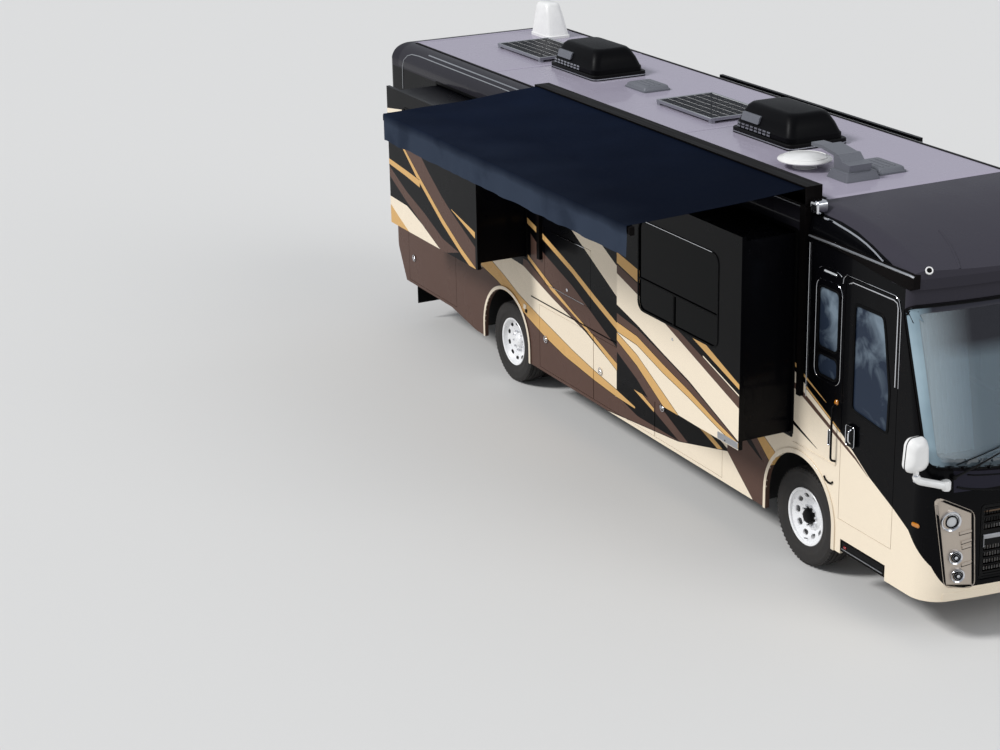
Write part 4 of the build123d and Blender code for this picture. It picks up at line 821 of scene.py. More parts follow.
def make_paints(colours):
    """Clear-coated paint of each group of panels."""
    black, crown = tuple(colours.black), tuple(colours.crown)
    table = made_finishes
    walls = in_colours(colours, wall_bands)
    anywhere = (None, None)
    shoulder = darker(crown, 0.5)
    high = (shoulder, anywhere, anywhere, (3.36, None))
    table["side_paint"] = livery("clearcoat_livery", black, walls + [high])

    # Slide-outs: the bands lie on the outer face, and the returns and the front end are plain.
    # The left room takes the rear room's bands, drawn longer
    edge = 0.05
    longer = 2.43 / 4.0
    for word, bands, face, front, mapping in (
        ("front_room", front_room_bands, front_room_face, -0.106, None),
        ("rear_room", rear_room_bands, rear_room_face, -5.62, None),
        ("left_room", rear_room_bands, left_room_face, -5.57,
         {"Location": (-8.0 + 6.4 * longer, 0, 0), "Scale": (longer, 1, 1)}),
    ):
        table[f"{word}_paint"] = livery(f"clearcoat_{word}", black, in_colours(colours, bands) + [
            (darker(black, 1.6), anywhere, (None, face - edge), anywhere),
            (darker(black, 1.2), (front, None), anywhere, anywhere),
        ], mapping=mapping)

    # Nose: hood panel in a bluish black, a painted sky reflection on its gloss black, charcoal crown with a
    # black field under its curved edge, a darker header over the glass that is painted shade under the
    # crown's overhang, and a pale rim behind it
    crown_edge = ((0.03, 3.575), (0.22, 3.574), (0.45, 3.565), (0.71, 3.536), (0.98, 3.481), (1.28, 3.403),
                  (1.33, 3.385))
    table["nose_paint"] = livery("clearcoat_nose", black, walls + [
        # Painted reflection: the hood panel's black lightened to a bluish sheen
        (linear("#26252f"), (1.9, None), (None, 1.03), (1.45, 1.74)),
        (crown, anywhere, anywhere, (3.215, None)),
        # Painted shade: the header under the crown's overhang, darker than the crown
        (darker(crown, 0.8), (1.5, None), anywhere, (3.03, 3.335)),
        (black, crown_edge, ((0.03, 3.1), (1.33, 3.1)), False),
        (linear("#b4c0c8"), (1.5, None), (None, 1.185), (1.765, 3.01)),
    ])
    table["tail_paint"] = livery("clearcoat_tail", black, walls + [
        high, (black, (None, -9.3), (None, 0.9), (1.0, 3.36))])
    # Roof skin: membrane on top, charcoal gelcoat on the round shoulders
    table["roof_paint"] = livery("gelcoat_roof_edge", shoulder, [
        (tuple(colours.membrane), (None, 0.02), (None, 1.03), (3.6, None))], coat=0.3)


# Helpers that set pieces on the CAD surfaces

def skin_of(*names):
    """A search tree over the surfaces of some CAD nodes."""
    points, faces = [], []
    for name in names:
        mesh = cad[name].data
        start = len(points)
        points += [v.co.copy() for v in mesh.vertices]
        faces += [[start + i for i in p.vertices] for p in mesh.polygons]
    return BVHTree.FromPolygons(points, faces)


def against(tree, origin, direction):
    """Places (a, b, height) where a line in the direction meets a surface, raised along its normal."""
    direction = Vector(direction)

    def place(a, b, height):
        start = origin(a, b)
        hit, normal, *_ = tree.ray_cast(start, direction)
        if hit is None:
            hit, normal, *_ = tree.find_nearest(start + direction * 2)
        if normal.dot(direction) > 0:
            normal = -normal
        return hit + normal * height
    return place


def on_nose(tree):
    """Places (y, z, height) on the front of the nose."""
    return against(tree, lambda y, z: at(4.0, y, z), (-1, 0, 0))


def from_side(tree, side):
    """Places (x, z, height) on a surface met from one side of the coach."""
    return against(tree, lambda x, z: at(x, side * 3, z), (0, -side, 0))


def from_above(tree):
    """Places (x, y, height) on a surface met from above."""
    return against(tree, lambda x, y: at(x, y, 5), (0, 0, -1))


def line_points(a, b, count):
    """Points evenly along the straight line between two (a, b) points."""
    return [tuple(Vector(a).lerp(Vector(b), k / (count - 1))) for k in range(count)]


def strip(path, to, width, height, bevel=0.002):
    """Loops of a flat moulding along (a, b) points on a surface."""
    path = [Vector(p) for p in path]
    loops = []
    for i, here in enumerate(path):
        ahead = (path[min(i + 1, len(path) - 1)] - path[max(i - 1, 0)]).normalized()
        out = Vector((ahead.y, -ahead.x))
        section = ((-0.5, -0.002), (-0.5, height - bevel), (-0.5 + bevel / width, height),
                   (0.5 - bevel / width, height), (0.5, height - bevel), (0.5, -0.002))
        loops.append([to(*(here + out * (s * width)), h) for s, h in section])
    return loops


def sheet_piece(name, body, rows, back, key):
    """A thin closed sheet from rows of points, with its other face moved by the back vector."""
    mesh = bpy.data.meshes.new(name)
    deep, wide = len(rows), len(rows[0])
    points = [p for row in rows for p in row] + [Vector(p) + Vector(back) for row in rows for p in row]
    other = deep * wide
    faces = []
    for i in range(deep - 1):
        for j in range(wide - 1):
            a, b, c, d = i * wide + j, i * wide + j + 1, (i + 1) * wide + j + 1, (i + 1) * wide + j
            faces += [(a, b, c, d), (other + d, other + c, other + b, other + a)]
    rim = list(range(wide)) + [i * wide + wide - 1 for i in range(1, deep)]
    rim += [(deep - 1) * wide + j for j in range(wide - 2, -1, -1)]
    rim += [i * wide for i in range(deep - 2, 0, -1)]
    for a, b in zip(rim, rim[1:] + rim[:1]):
        faces.append((b, a, other + a, other + b))
    mesh.from_pydata(points, [], faces)
    shape = bmesh.new()
    shape.from_mesh(mesh)
    end_mesh(shape, mesh)
    mesh.set_sharp_from_angle(angle=radians(50))
    mesh.materials.append(shared(key))
    return riding(name, mesh, body)


# The stage

class MOTORHOME_OT_stage(bpy.types.Operator):
    """Camera at the photograph's angle, plain pale floor and soft light"""

    bl_idname = "motorhome.stage"
    bl_label = "Stage"

    def execute(self, context):
        scene = context.scene
        scene.view_settings.view_transform = "Standard"
        # Solved from the photograph: the lens, the place of the eye, and the picture's right and up
        camera = bpy.data.cameras.new("camera")
        camera.lens, camera.sensor_width, camera.clip_end = 77.3247, 36, 400
        eye_place = at(15.8268, -12.3348, 8.8063)
        right, up = Vector((0.45205, 0.89178, -0.01954)), Vector((-0.28986, 0.16757, 0.94228))
        back = right.cross(up).normalized()
        turn = Matrix((right, up, back)).transposed()
        eye = bpy.data.objects.new("camera", camera)
        eye.matrix_world = Matrix.Translation(eye_place) @ turn.to_4x4()
        scene.collection.objects.link(eye)
        scene.camera = eye

        made, _, shader, _ = finish("pale_floor", linear("#d3d2d0"))
        shader.inputs["Roughness"].default_value = 0.9
        mesh = bpy.data.meshes.new("floor_stage")
        reach = 150
        corners = ((-reach, -reach), (reach, -reach), (reach, reach), (-reach, reach))
        mesh.from_pydata([at(x, y, -0.001) for x, y in corners], [], [(0, 1, 2, 3)])
        mesh.materials.append(made)
        ground = bpy.data.objects.new("floor_stage", mesh)
        scene.collection.objects.link(ground)

        for name, where, energy, angle in (("key", (-4, -16, 15), 2.5, 14), ("fill", (16, 6, 10), 0.8, 40)):
            lamp = bpy.data.lights.new(name, "SUN")
            lamp.energy, lamp.angle = energy, radians(angle)
            holder = bpy.data.objects.new(name, lamp)
            aim = Vector(where).to_track_quat("Z", "Y").to_matrix().to_4x4()
            holder.matrix_world = Matrix.Translation(where) @ aim
            scene.collection.objects.link(holder)
        sky = bpy.data.worlds.new("soft_sky")
        sky.use_nodes = True
        light = sky.node_tree.nodes["Background"].inputs
        light["Color"].default_value = linear("#e6ebf2")
        light["Strength"].default_value = 0.55
        scene.world = sky
        return {"FINISHED"}


class MOTORHOME_OT_finishes(bpy.types.Operator):
    """Paint, glass, metal and plastic of the CAD nodes"""

    bl_idname = "motorhome.finishes"
    bl_label = "Finishes"

    def execute(self, context):
        colours = context.scene.motorhome_colours
        make_plain_finishes(colours)
        make_glass()
        make_cloth(tuple(colours.cloth))
        make_paints(colours)
        for key, words in (
            ("side_paint", ("side_skirts", "wall_right", "wall_left", "bay_door", "entry_door",
                            "screen_hatch")),
            ("front_room_paint", ("slide_right_front",)), ("rear_room_paint", ("slide_right_rear",)),
            ("left_room_paint", ("slide_left",)), ("nose_paint", ("front_cap",)),
            ("tail_paint", ("rear_cap",)),
            ("roof_paint", ("roof",)), ("white", ("roof_fittings", "mirrors")),
            ("glass", ("side_windows", "entry_door_glass", "slide_right_front_glass",
                       "slide_right_rear_glass", "slide_left_glass")),
            ("screen", ("windshield",)),
            ("enamel", ("chassis_frame", "hitch_receiver", "front_axle", "rear_axle", "knuckle")),
            ("iron", ("engine_block",)), ("plank", ("floor",)), ("tray", ("basement",)),
            ("gasket", ("mud_flaps",)),
            ("bronze", ("awning_case", "awning_lead_rail")), ("anodised", ("awning_arm", "awning_forearm")),
            ("cloth", ("awning_fabric", "awning_valance")), ("gloss", ("grille",)), ("champagne", ("lamps",)),
            ("powder", ("wipers", "entry_step")), ("shroud", ("ac_units",)), ("cell", ("solar_panels",)),
            ("dash", ("dashboard",)), ("leather", ("cab_seats",)), ("rubber", ("tyre",)), ("alloy", ("rim",)),
        ):
            for name, shown in cad.items():
                if name.startswith(words):
                    shown.data.materials.clear()
                    shown.data.materials.append(shared(key))
                    shown["dressed"] = key
        bare = [name for name, shown in cad.items() if "dressed" not in shown]
        if bare:
            raise RuntimeError(f"no finish for {bare}")
        return {"FINISHED"}


class MOTORHOME_OT_awning(bpy.types.Operator):
    """Awning cloth and valance"""

    bl_idname = "motorhome.awning"
    bl_label = "Awning"

    def execute(self, context):
        sag = context.scene.motorhome_sizes.sag
        rear, front = -5.25, 0.02
        roller, roller_top = -1.192, 3.799
        rail, rail_top = -3.176, 3.7075
        deep, wide = 60, 160
        rows = []
        for i in range(deep + 1):
            v = i / deep
            y = roller + (rail - roller) * v
            row = []
            for j in range(wide + 1):
                u = j / wide
                x = rear + (front - rear) * u
                hang = sag * sin(pi * v) * (0.75 + 0.25 * cos(2 * pi * (u - 0.5)))
                # The rear end is looser, and ripples more
                loose = max(0.0, 1 - u * 3.2) * sin(pi * min(v * 1.15, 1))
                ripple = 0.009 * loose * sin(21 * u + 9 * v) + 0.0035 * sin(pi * v) * sin(37 * u + 3 * v)
                row.append(at(x, y, roller_top + (rail_top - roller_top) * v - hang + ripple))
            rows.append(row)
        cloth = sheet_piece("awning_cloth", "coach", rows, (0, 0, 0.0015), "cloth")
        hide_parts("awning_fabric")
        tuple(at(0, roller, 3.8))
        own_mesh(cloth)
        # The valance wraps the rail and hangs from its lower edge in soft waves
        wrap = ((-0.001, 3.7098), (0.004, 3.7085), (0.008, 3.7045), (0.0105, 3.697), (0.0105, 3.685),
                (0.0105, 3.655))
        deep, wide = 12, 240
        rows = [[at(rear + (front - rear) * j / wide, rail - out, z) for j in range(wide + 1)]
                for out, z in wrap]
        for i in range(deep + 1):
            v = i / deep
            row = []
            for j in range(wide + 1):
                u = j / wide
                x = rear + (front - rear) * u
                wave = 0.009 * v * sin(47 * u + 2.4 * sin(9 * u)) + 0.004 * v * sin(113 * u + 2 * sin(17 * u))
                row.append(at(x, rail - 0.0055 + wave, 3.632 - 0.215 * v - 0.004 * v * sin(29 * u)))
            rows.append(row)
        valance = sheet_piece("awning_valance_cloth", "awning_lead", rows, (0, -0.0013, 0.0009), "cloth")
        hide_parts("awning_valance")
        return {"FINISHED"}


# Wheels: body, x and y of the outer tyre's middle, and how far inwards each tyre is
wheel_places = (
    ("wheel_front_left", 0.0, 1.055, (0.0,)),
    ("wheel_front_right", 0.0, -1.055, (0.0,)),
    ("wheels_rear_left", rear_axle, 1.075, (0.0, 0.31)),
    ("wheels_rear_right", rear_axle, -1.075, (0.0, 0.31)),
)


class MOTORHOME_OT_tyres(bpy.types.Operator):
    """Highway tyres with ribs, shoulder blocks and stepped sidewalls"""

    bl_idname = "motorhome.tyres"
    bl_label = "Tyres"

    def execute(self, context):
        # One half of the section, as (distance from the middle, radius)
        half = ((0.105, 0.292), (0.117, 0.296), (0.121, 0.303), (0.1235, 0.303), (0.128, 0.328),
                (0.1335, 0.358), (0.136, 0.362), (0.1368, 0.385), (0.136, 0.415), (0.1335, 0.438),
                (0.1342, 0.442), (0.1325, 0.451), (0.13, 0.453), (0.127, 0.466), (0.1215, 0.4745),
                (0.113, 0.4805), (0.084, 0.4885), (0.082, 0.477), (0.073, 0.477), (0.071, 0.4905),
                (0.036, 0.4935), (0.034, 0.481), (0.025, 0.481), (0.023, 0.4945))
        profile = list(half) + [(-t, r) for t, r in reversed(half)]
        tree = ring_tree("shoulder_blocks", False)
        for body, x, y, inwards in wheel_places:
            side = 1 if y > 0 else -1
            nodes = [n for n in frame["record"]["behaviour"]["bodies"][body] if n.startswith("tyre")]
            middles = [at(x, y - side * step, wheel_radius) for step in inwards]
            parts = [(turned(middle, (0, 1, 0), profile, 72), "rubber", True) for middle in middles]
            piece(f"{body}_tyres", body, parts, replaces=nodes, smooth=38)
            for n, middle in enumerate(middles):
                for edge, word in ((-1, "in"), (1, "out")):
                    grown_from_nodes(
                        f"{body}_blocks_{n}_{word}", body, tree, Radius=0.4795, Skew=0.35 * edge,
                        Count=context.scene.motorhome_sizes.tread_blocks, Start=0.03 * edge,
                        Centre=middle + Vector((0, edge * 0.1065, 0)), Size=(0.016, 0.03, 0.026),
                        Material=shared("rubber"))
        return {"FINISHED"}


class MOTORHOME_OT_hubs(bpy.types.Operator):
    """Hub covers, nuts, valve stems and rim beads of the wheels"""

    bl_idname = "motorhome.hubs"
    bl_label = "Hubs"

    def execute(self, context):
        tree = ring_tree("wheel_nuts", True)
        for body, x, y, inwards in wheel_places:
            side = 1 if y > 0 else -1
            out = (0, side, 0)
            centre = at(x, y, wheel_radius)
            twin = len(inwards) > 1
            if twin:
                # Shallow bright liner over the deep dual wheel, with a bright cap
                cover = ((0.02, 0.086), (0.045, 0.083), (0.062, 0.073), (0.072, 0.055), (0.076, 0.03),
                         (0.077, 0.0))
                ring, sunk = 0.12, 0.046
                liner = ((0.112, 0.269), (0.1, 0.262), (0.084, 0.25), (0.07, 0.24), (0.066, 0.214),
                         (0.06, 0.19), (0.05, 0.165), (0.04, 0.14), (0.034, 0.11), (0.034, 0.08),
                         (0.026, 0.08), (0.026, 0.11), (0.032, 0.14), (0.042, 0.165), (0.052, 0.19),
                         (0.058, 0.214), (0.062, 0.242), (0.076, 0.252), (0.1, 0.269))
                parts = [(turned(centre, out, liner, 64), "alloy", True)]
                # Painted shade: black plates on the liner stand for its hand holes, which show the shaded
                # wheel behind
                hand_holes = 10
                hole = rounded(-0.03, 0.03, -0.019, 0.019, 0.018, 4)
                for k in range(hand_holes):
                    to = self.on_disc(centre, side, 2 * pi * (k + 0.5) / hand_holes)
                    parts.append((plate(hole, to, 0.003, 0.001, -0.004), "powder"))
            else:
                cover = ((0.06, 0.086), (0.072, 0.086), (0.08, 0.079), (0.09, 0.075), (0.108, 0.064),
                         (0.114, 0.05), (0.116, 0.0))
                ring, sunk = 0.1025, 0.07
                parts = []
            cap = ((cover[0][0], 0.0),) + cover
            parts.append((turned(centre, out, cap, 32), "alloy" if twin else "powder"))
            flange = ((0.1135, 0.268), (0.1135, 0.288), (0.119, 0.2925), (0.1225, 0.2895), (0.1215, 0.276),
                      (0.116, 0.268))
            parts.append((turned(centre, out, flange, 64), "alloy", True))
            valve = centre + Vector((0.0, side * (0.02 if twin else 0.09), -0.235))
            parts.append((tube([valve, valve + Vector((0, side * 0.035, 0.012))], 0.005, 8), "powder"))
            piece(f"{body}_hub", body, parts)
            grown_from_nodes(
                f"{body}_nuts", body, tree, Count=context.scene.motorhome_sizes.wheel_nuts, Radius=ring,
                Centre=centre + Vector((0, side * sunk, 0)), Size=(0.0135, 0.03, 0.0), Start=0.16,
                Material=shared("chrome"))
        return {"FINISHED"}

    @staticmethod
    def on_disc(centre, side, turn):
        """Places (along the rim, outwards from the hub, height) round one hand hole of the liner."""
        radius, depth, slope = 0.214, 0.066, 0.17
        return lambda a, b, height: centre + Vector((
            cos(turn) * (radius + b) - sin(turn) * a, side * (depth + slope * b + height),
            sin(turn) * (radius + b) + cos(turn) * a))


def frame_box(name):
    """Extent of a CAD node in the coach's own coordinates."""
    low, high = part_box(name)
    origin = at(0, 0, 0)
    return low - origin, high - origin


# Slide-out rooms and their sides
rooms = (("slide_right_front", -1), ("slide_right_rear", -1), ("slide_left", 1))


class MOTORHOME_OT_windows(bpy.types.Operator):
    """Gaskets, divider bars and bright lines of the windows"""

    bl_idname = "motorhome.windows"
    bl_label = "Windows"

    def execute(self, context):
        width = context.scene.motorhome_sizes.trim_width
        made = {}
        for side, face, body, openings in windows_of():
            to = on_side(side, face)
            for outline in openings:
                ring = hoop(grown(outline, 0.016), to, width, 0.007)
                made.setdefault(body, []).append((ring, "gasket", True))
        low, high = frame_box("slide_right_front_glass")
        to = on_side(-1, front_room_face)
        for line, wide, proud, key in (
            (((low.x + 0.01, 2.51), (high.x - 0.01, 2.51)), 0.022, 0.004, "gasket"),
            (((-1.3, low.z + 0.01), (-1.3, 2.5)), 0.022, 0.004, "gasket"),
            (((low.x + 0.1, high.z + 0.012), (high.x - 0.1, high.z + 0.012)), 0.009, 0.01, "chrome"),
        ):
            made["slide_right_front"].append((strip(line, to, wide, proud), key))
        # Fine bright line round the pair of narrow panes
        pair = rounded(0.208, 0.622, 2.03, 3.008, 0.1)
        made["coach"].append((hoop(pair, on_side(-1), 0.007, 0.005, 0.002), "chrome", True))
        for body, parts in made.items():
            piece(f"window_frames_{body}", body, parts)
        return {"FINISHED"}


def windows_of():
    """Outlines of every window opening, with its side, face and body."""
    yield -1, half_body, "coach", [
        rounded(0.255, 0.57, 2.35, 2.93, 0.06), rounded(0.255, 0.57, 2.08, 2.28, 0.06),
        rounded(-4.95, -4.05, 2.42, 3.08, 0.08)]
    yield 1, half_body, "coach", [
        rounded(0.45, 1.38, 1.98, 2.93, 0.09), rounded(-1.75, -0.55, 2.15, 3.0, 0.08),
        rounded(-8.5, -7.3, 2.3, 3.0, 0.08)]
    for body, side in rooms:
        low, high = frame_box(f"{body}_glass")
        outer = frame_box(body)
        face = -outer[0].y if side < 0 else outer[1].y
        yield side, face, body, [rounded(low.x, high.x, low.z, high.z, 0.09)]


def lock_face(radius, inner, rise):
    """Profile of a small round lock with a sunk face."""
    return (0, radius), (rise, radius), (rise + 0.003, inner), (rise + 0.001, 0.0)


class MOTORHOME_OT_trims(bpy.types.Operator):
    """Bright mouldings, door trims, gutters, latches, locks and handles"""

    bl_idname = "motorhome.trims"
    bl_label = "Trims"

    def execute(self, context):
        right, left = on_side(-1), on_side(1)
        coach, door = [], []
        # Belt moulding along both sides, broken by the arches and the entry door, pale beside the door
        for to, x0, x1, key in (
            (right, -9.05, -6.8, "bronze"), (right, -5.5, -0.62, "bronze"), (right, -0.1, 0.6, "lip"),
            (left, -9.05, -6.8, "bronze"), (left, -5.5, 1.45, "bronze"),
        ):
            coach.append((strip([(x0, belt), (x1, belt)], to, 0.011, 0.008), key))
        # Rain gutters: a bright moulding that turns down at the rear corner, and a second one above it; both
        # bright lines also stand for the highlights along the roof shoulder, painted highlights
        skin = skin_of("roof", "rear_cap", "wall_right", "wall_left")
        low_line = [(-8.98, 3.1), (-8.975, 3.25), (-8.97, 3.38), (-8.95, 3.47), (-8.89, 3.53), (-8.8, 3.56),
                    (-8.6, 3.57)]
        low_line += [(-8.4 + 0.4 * k, 3.57) for k in range(22)]
        high_line = [(-8.4 + 0.4 * k, 3.608) for k in range(22)]
        for side in (-1, 1):
            for line in (low_line, high_line):
                coach.append((strip(line, from_side(skin, side), 0.009, 0.006), "anodised"))
        # Service latch over the rear wheel
        coach.append((plate(rounded(-5.7, -5.635, 1.055, 1.115, 0.008), right, 0.008), "lip"))
        coach.append((plate(rounded(-5.655, -5.615, 1.02, 1.062, 0.012), right, 0.014), "powder"))
        # Fine bright arc and small lamp bar over the narrow window, and bright edge of the awning post; the
        # bright strip on the post stands for the highlight along its edge, a painted highlight
        arc = [(0.24 + 0.364 * k / 10, 3.095 + 0.038 * sin(pi * k / 10) ** 0.7) for k in range(11)]
        coach.append((strip(arc, right, 0.006, 0.006), "chrome"))
        coach.append((plate(rounded(0.333, 0.527, 3.082, 3.1, 0.008), right, 0.012), "clear"))
        # Painted highlight: a bright strip along the post's front edge
        coach.append((strip([(0.097, 1.79), (0.097, 3.3)], right, 0.008, 0.012), "chrome"))
        # Drip line round the top of the entry door
        drip = [(0.624, 3.04), (0.635, 3.095), (0.68, 3.137), (1.4, 3.135), (1.455, 3.1), (1.487, 3.0),
                (1.49, 2.3)]
        coach.append((strip(drip, right, 0.006, 0.008), "chrome"))
        # Slide-out seals on the walls
        inset = 0.01
        for body, side in rooms:
            low, high = frame_box(body)
            ring = rounded(low.x + inset, high.x - inset, low.z + inset, high.z - inset, 0.02, 2)
            coach.append((hoop(ring, on_side(side), 0.035, 0.004, 0.002), "gasket", True))
        # Grab handle with a lamp over it, lock and latch behind the entry door
        grip = [at(0.59, y, z) for y, z in ((-1.274, 1.87), (-1.33, 1.85), (-1.33, 1.32), (-1.274, 1.3))]
        coach.append((tube(bent(grip, 0.03), 0.011, 10), "powder"))
        lamp = ((0, 0.027), (0.012, 0.027), (0.02, 0.018), (0.022, 0))
        coach.append((turned(at(0.59, -1.274, 1.885), (0, -1, 0), lamp, 24), "amber"))
        coach.append((hoop(rounded(0.46, 0.5, 1.42, 1.58, 0.019), right, 0.007, 0.005), "chrome", True))
        coach.append((plate(rounded(0.467, 0.493, 1.427, 1.573, 0.012), right, 0.003), "powder"))
        hook = [(0.43, 1.1), (0.455, 1.07), (0.5, 1.055), (0.545, 1.06), (0.57, 1.085)]
        coach.append((strip(hook, right, 0.016, 0.014), "gasket"))

        # Entry door: bright line over its top and down its front edge, a gasket round its glass, and a handle
        # with its pocket
        path = [(0.72, 3.06), (0.78, 3.09), (1.38, 3.09), (1.43, 3.075), (1.445, 3.03), (1.445, 2.3)]
        door.append((strip(path, right, 0.012, 0.009), "chrome"))
        glass_line = [(0.82, 2.895), (1.235, 2.895), (1.272, 2.74), (1.358, 2.23), (1.35, 1.828),
                      (0.82, 1.893)]
        outline = smooth_corners(list(reversed(glass_line)), 0.05)
        door.append((hoop(grown(outline, 0.022), right, 0.03, 0.006), "gasket", True))
        pocket = on_side(-1, 1.305)
        door.append((hoop(rounded(0.775, 0.915, 1.535, 1.745, 0.032), pocket, 0.007, 0.005), "chrome", True))
        door.append((plate(rounded(0.79, 0.9, 1.55, 1.73, 0.02), pocket, 0.002), "powder"))
        pull = [at(0.86, y, z) for y, z in ((-1.304, 1.71), (-1.335, 1.69), (-1.335, 1.6), (-1.304, 1.575))]
        door.append((tube(bent(pull, 0.02), 0.009, 10), "chrome"))
        piece("entry_door_trims", "entry_door", door)

        # Screen hatch: bright lines along its top and foot, and its lock
        piece("hatch_trims", "screen_hatch", [
            (strip([(-5.02, 2.165), (-4.22, 2.165)], right, 0.01, 0.006), "chrome"),
            (strip([(-5.02, 1.505), (-4.22, 1.505)], right, 0.008, 0.005), "chrome"),
            (turned(at(-4.62, -half_body, 1.57), (0, -1, 0), lock_face(0.02, 0.014, 0.006), 24), "chrome")])

        # Cream lips round the wheel arches
        for x, radius, top in ((0.025, 0.555, 1.165), (-6.155, 0.575, 1.15)):
            r = radius + 0.024
            path = [(x - r, 0.41), (x - r, 0.45)]
            path += [(x - r * cos(pi * k / 24), top - radius + r * sin(pi * k / 24)) for k in range(25)]
            path += [(x + r, 0.45), (x + r, 0.41)]
            for to in (right, left):
                coach.append((strip(path, to, 0.046, 0.0135, 0.004), "lip"))
        piece("body_trims", "coach", coach)

        # Light corner plate of the front slide-out with its screw, and the room's lock
        face = on_side(-1, front_room_face)
        screw = ((0, 0.008), (0.005, 0.008), (0.006, 0.0))
        piece("slide_corner_plate", "slide_right_front", [
            (plate(rounded(-0.47, -0.112, 1.294, 1.366, 0.01), face, 0.003), "anodised"),
            (turned(face(-0.334, 1.315, 0), (0, -1, 0), screw, 12), "powder"),
            (turned(face(-1.31, 2.05, 0), (0, -1, 0), lock_face(0.016, 0.011, 0.005), 20), "chrome")])

        # Entry step: slot frame, tread edge and courtesy lamp
        step = [(hoop(rounded(0.725, 1.395, 0.445, 0.55, 0.012, 3), right, 0.01, 0.004), "bronze", True),
                (strip([(0.745, 0.47), (1.375, 0.47)], right, 0.008, 0.008), "anodised"),
                (plate(rounded(0.775, 0.815, 0.485, 0.51, 0.008), right, 0.008), "red")]
        piece("entry_step_trims", "entry_step", step)

        # Bright end bracket of the awning on the roof shoulder
        end = on_side(-1, 1.235)
        piece("awning_end_bracket", "coach", [
            (plate(rounded(0.075, 0.205, 3.575, 3.7, 0.035), end, 0.05, 0.014, -0.06), "chrome"),
            (plate(rounded(0.105, 0.175, 3.61, 3.665, 0.012), end, 0.054, 0.003, 0.04), "powder")])

        # Round chrome latches with a flush paddle on every compartment door
        for body in [name for name in frame["bodies"] if name.startswith("bay_door")]:
            low, high = frame_box(body)
            side = -1 if "right" in body else 1
            x, z = low.x + 0.159, (low.z + high.z) / 2
            face = 1.283
            ring = ((0.0, 0.044), (0.004, 0.044), (0.006, 0.041), (0.005, 0.036), (0.0, 0.034))
            paddle = rounded(x - 0.024, x + 0.024, z - 0.016, z + 0.016, 0.012, 3)
            piece(f"{body}_latch", body, [
                (turned(at(x, side * face, z), (0, side, 0), ring, 32), "chrome", True),
                (plate(paddle, on_side(side, face), 0.006), "chrome"),
            ])
        return {"FINISHED"}


def smooth_corners(points, radius, steps=4):
    """A closed outline with its corners rounded."""
    out = []
    for before, here, after in zip(points[-1:] + points[:-1], points, points[1:] + points[:1]):
        here = Vector(here)
        a = here + (Vector(before) - here).normalized() * radius
        b = here + (Vector(after) - here).normalized() * radius
        for k in range(steps + 1):
            t = k / steps
            out.append(tuple(a * (1 - t) ** 2 + here * (2 * t * (1 - t)) + b * t * t))
    return out


# Marker lamps on each side: x, z and lens
side_lamps = ((-9.17, 1.13, "red"), (1.82, 1.12, "amber"))


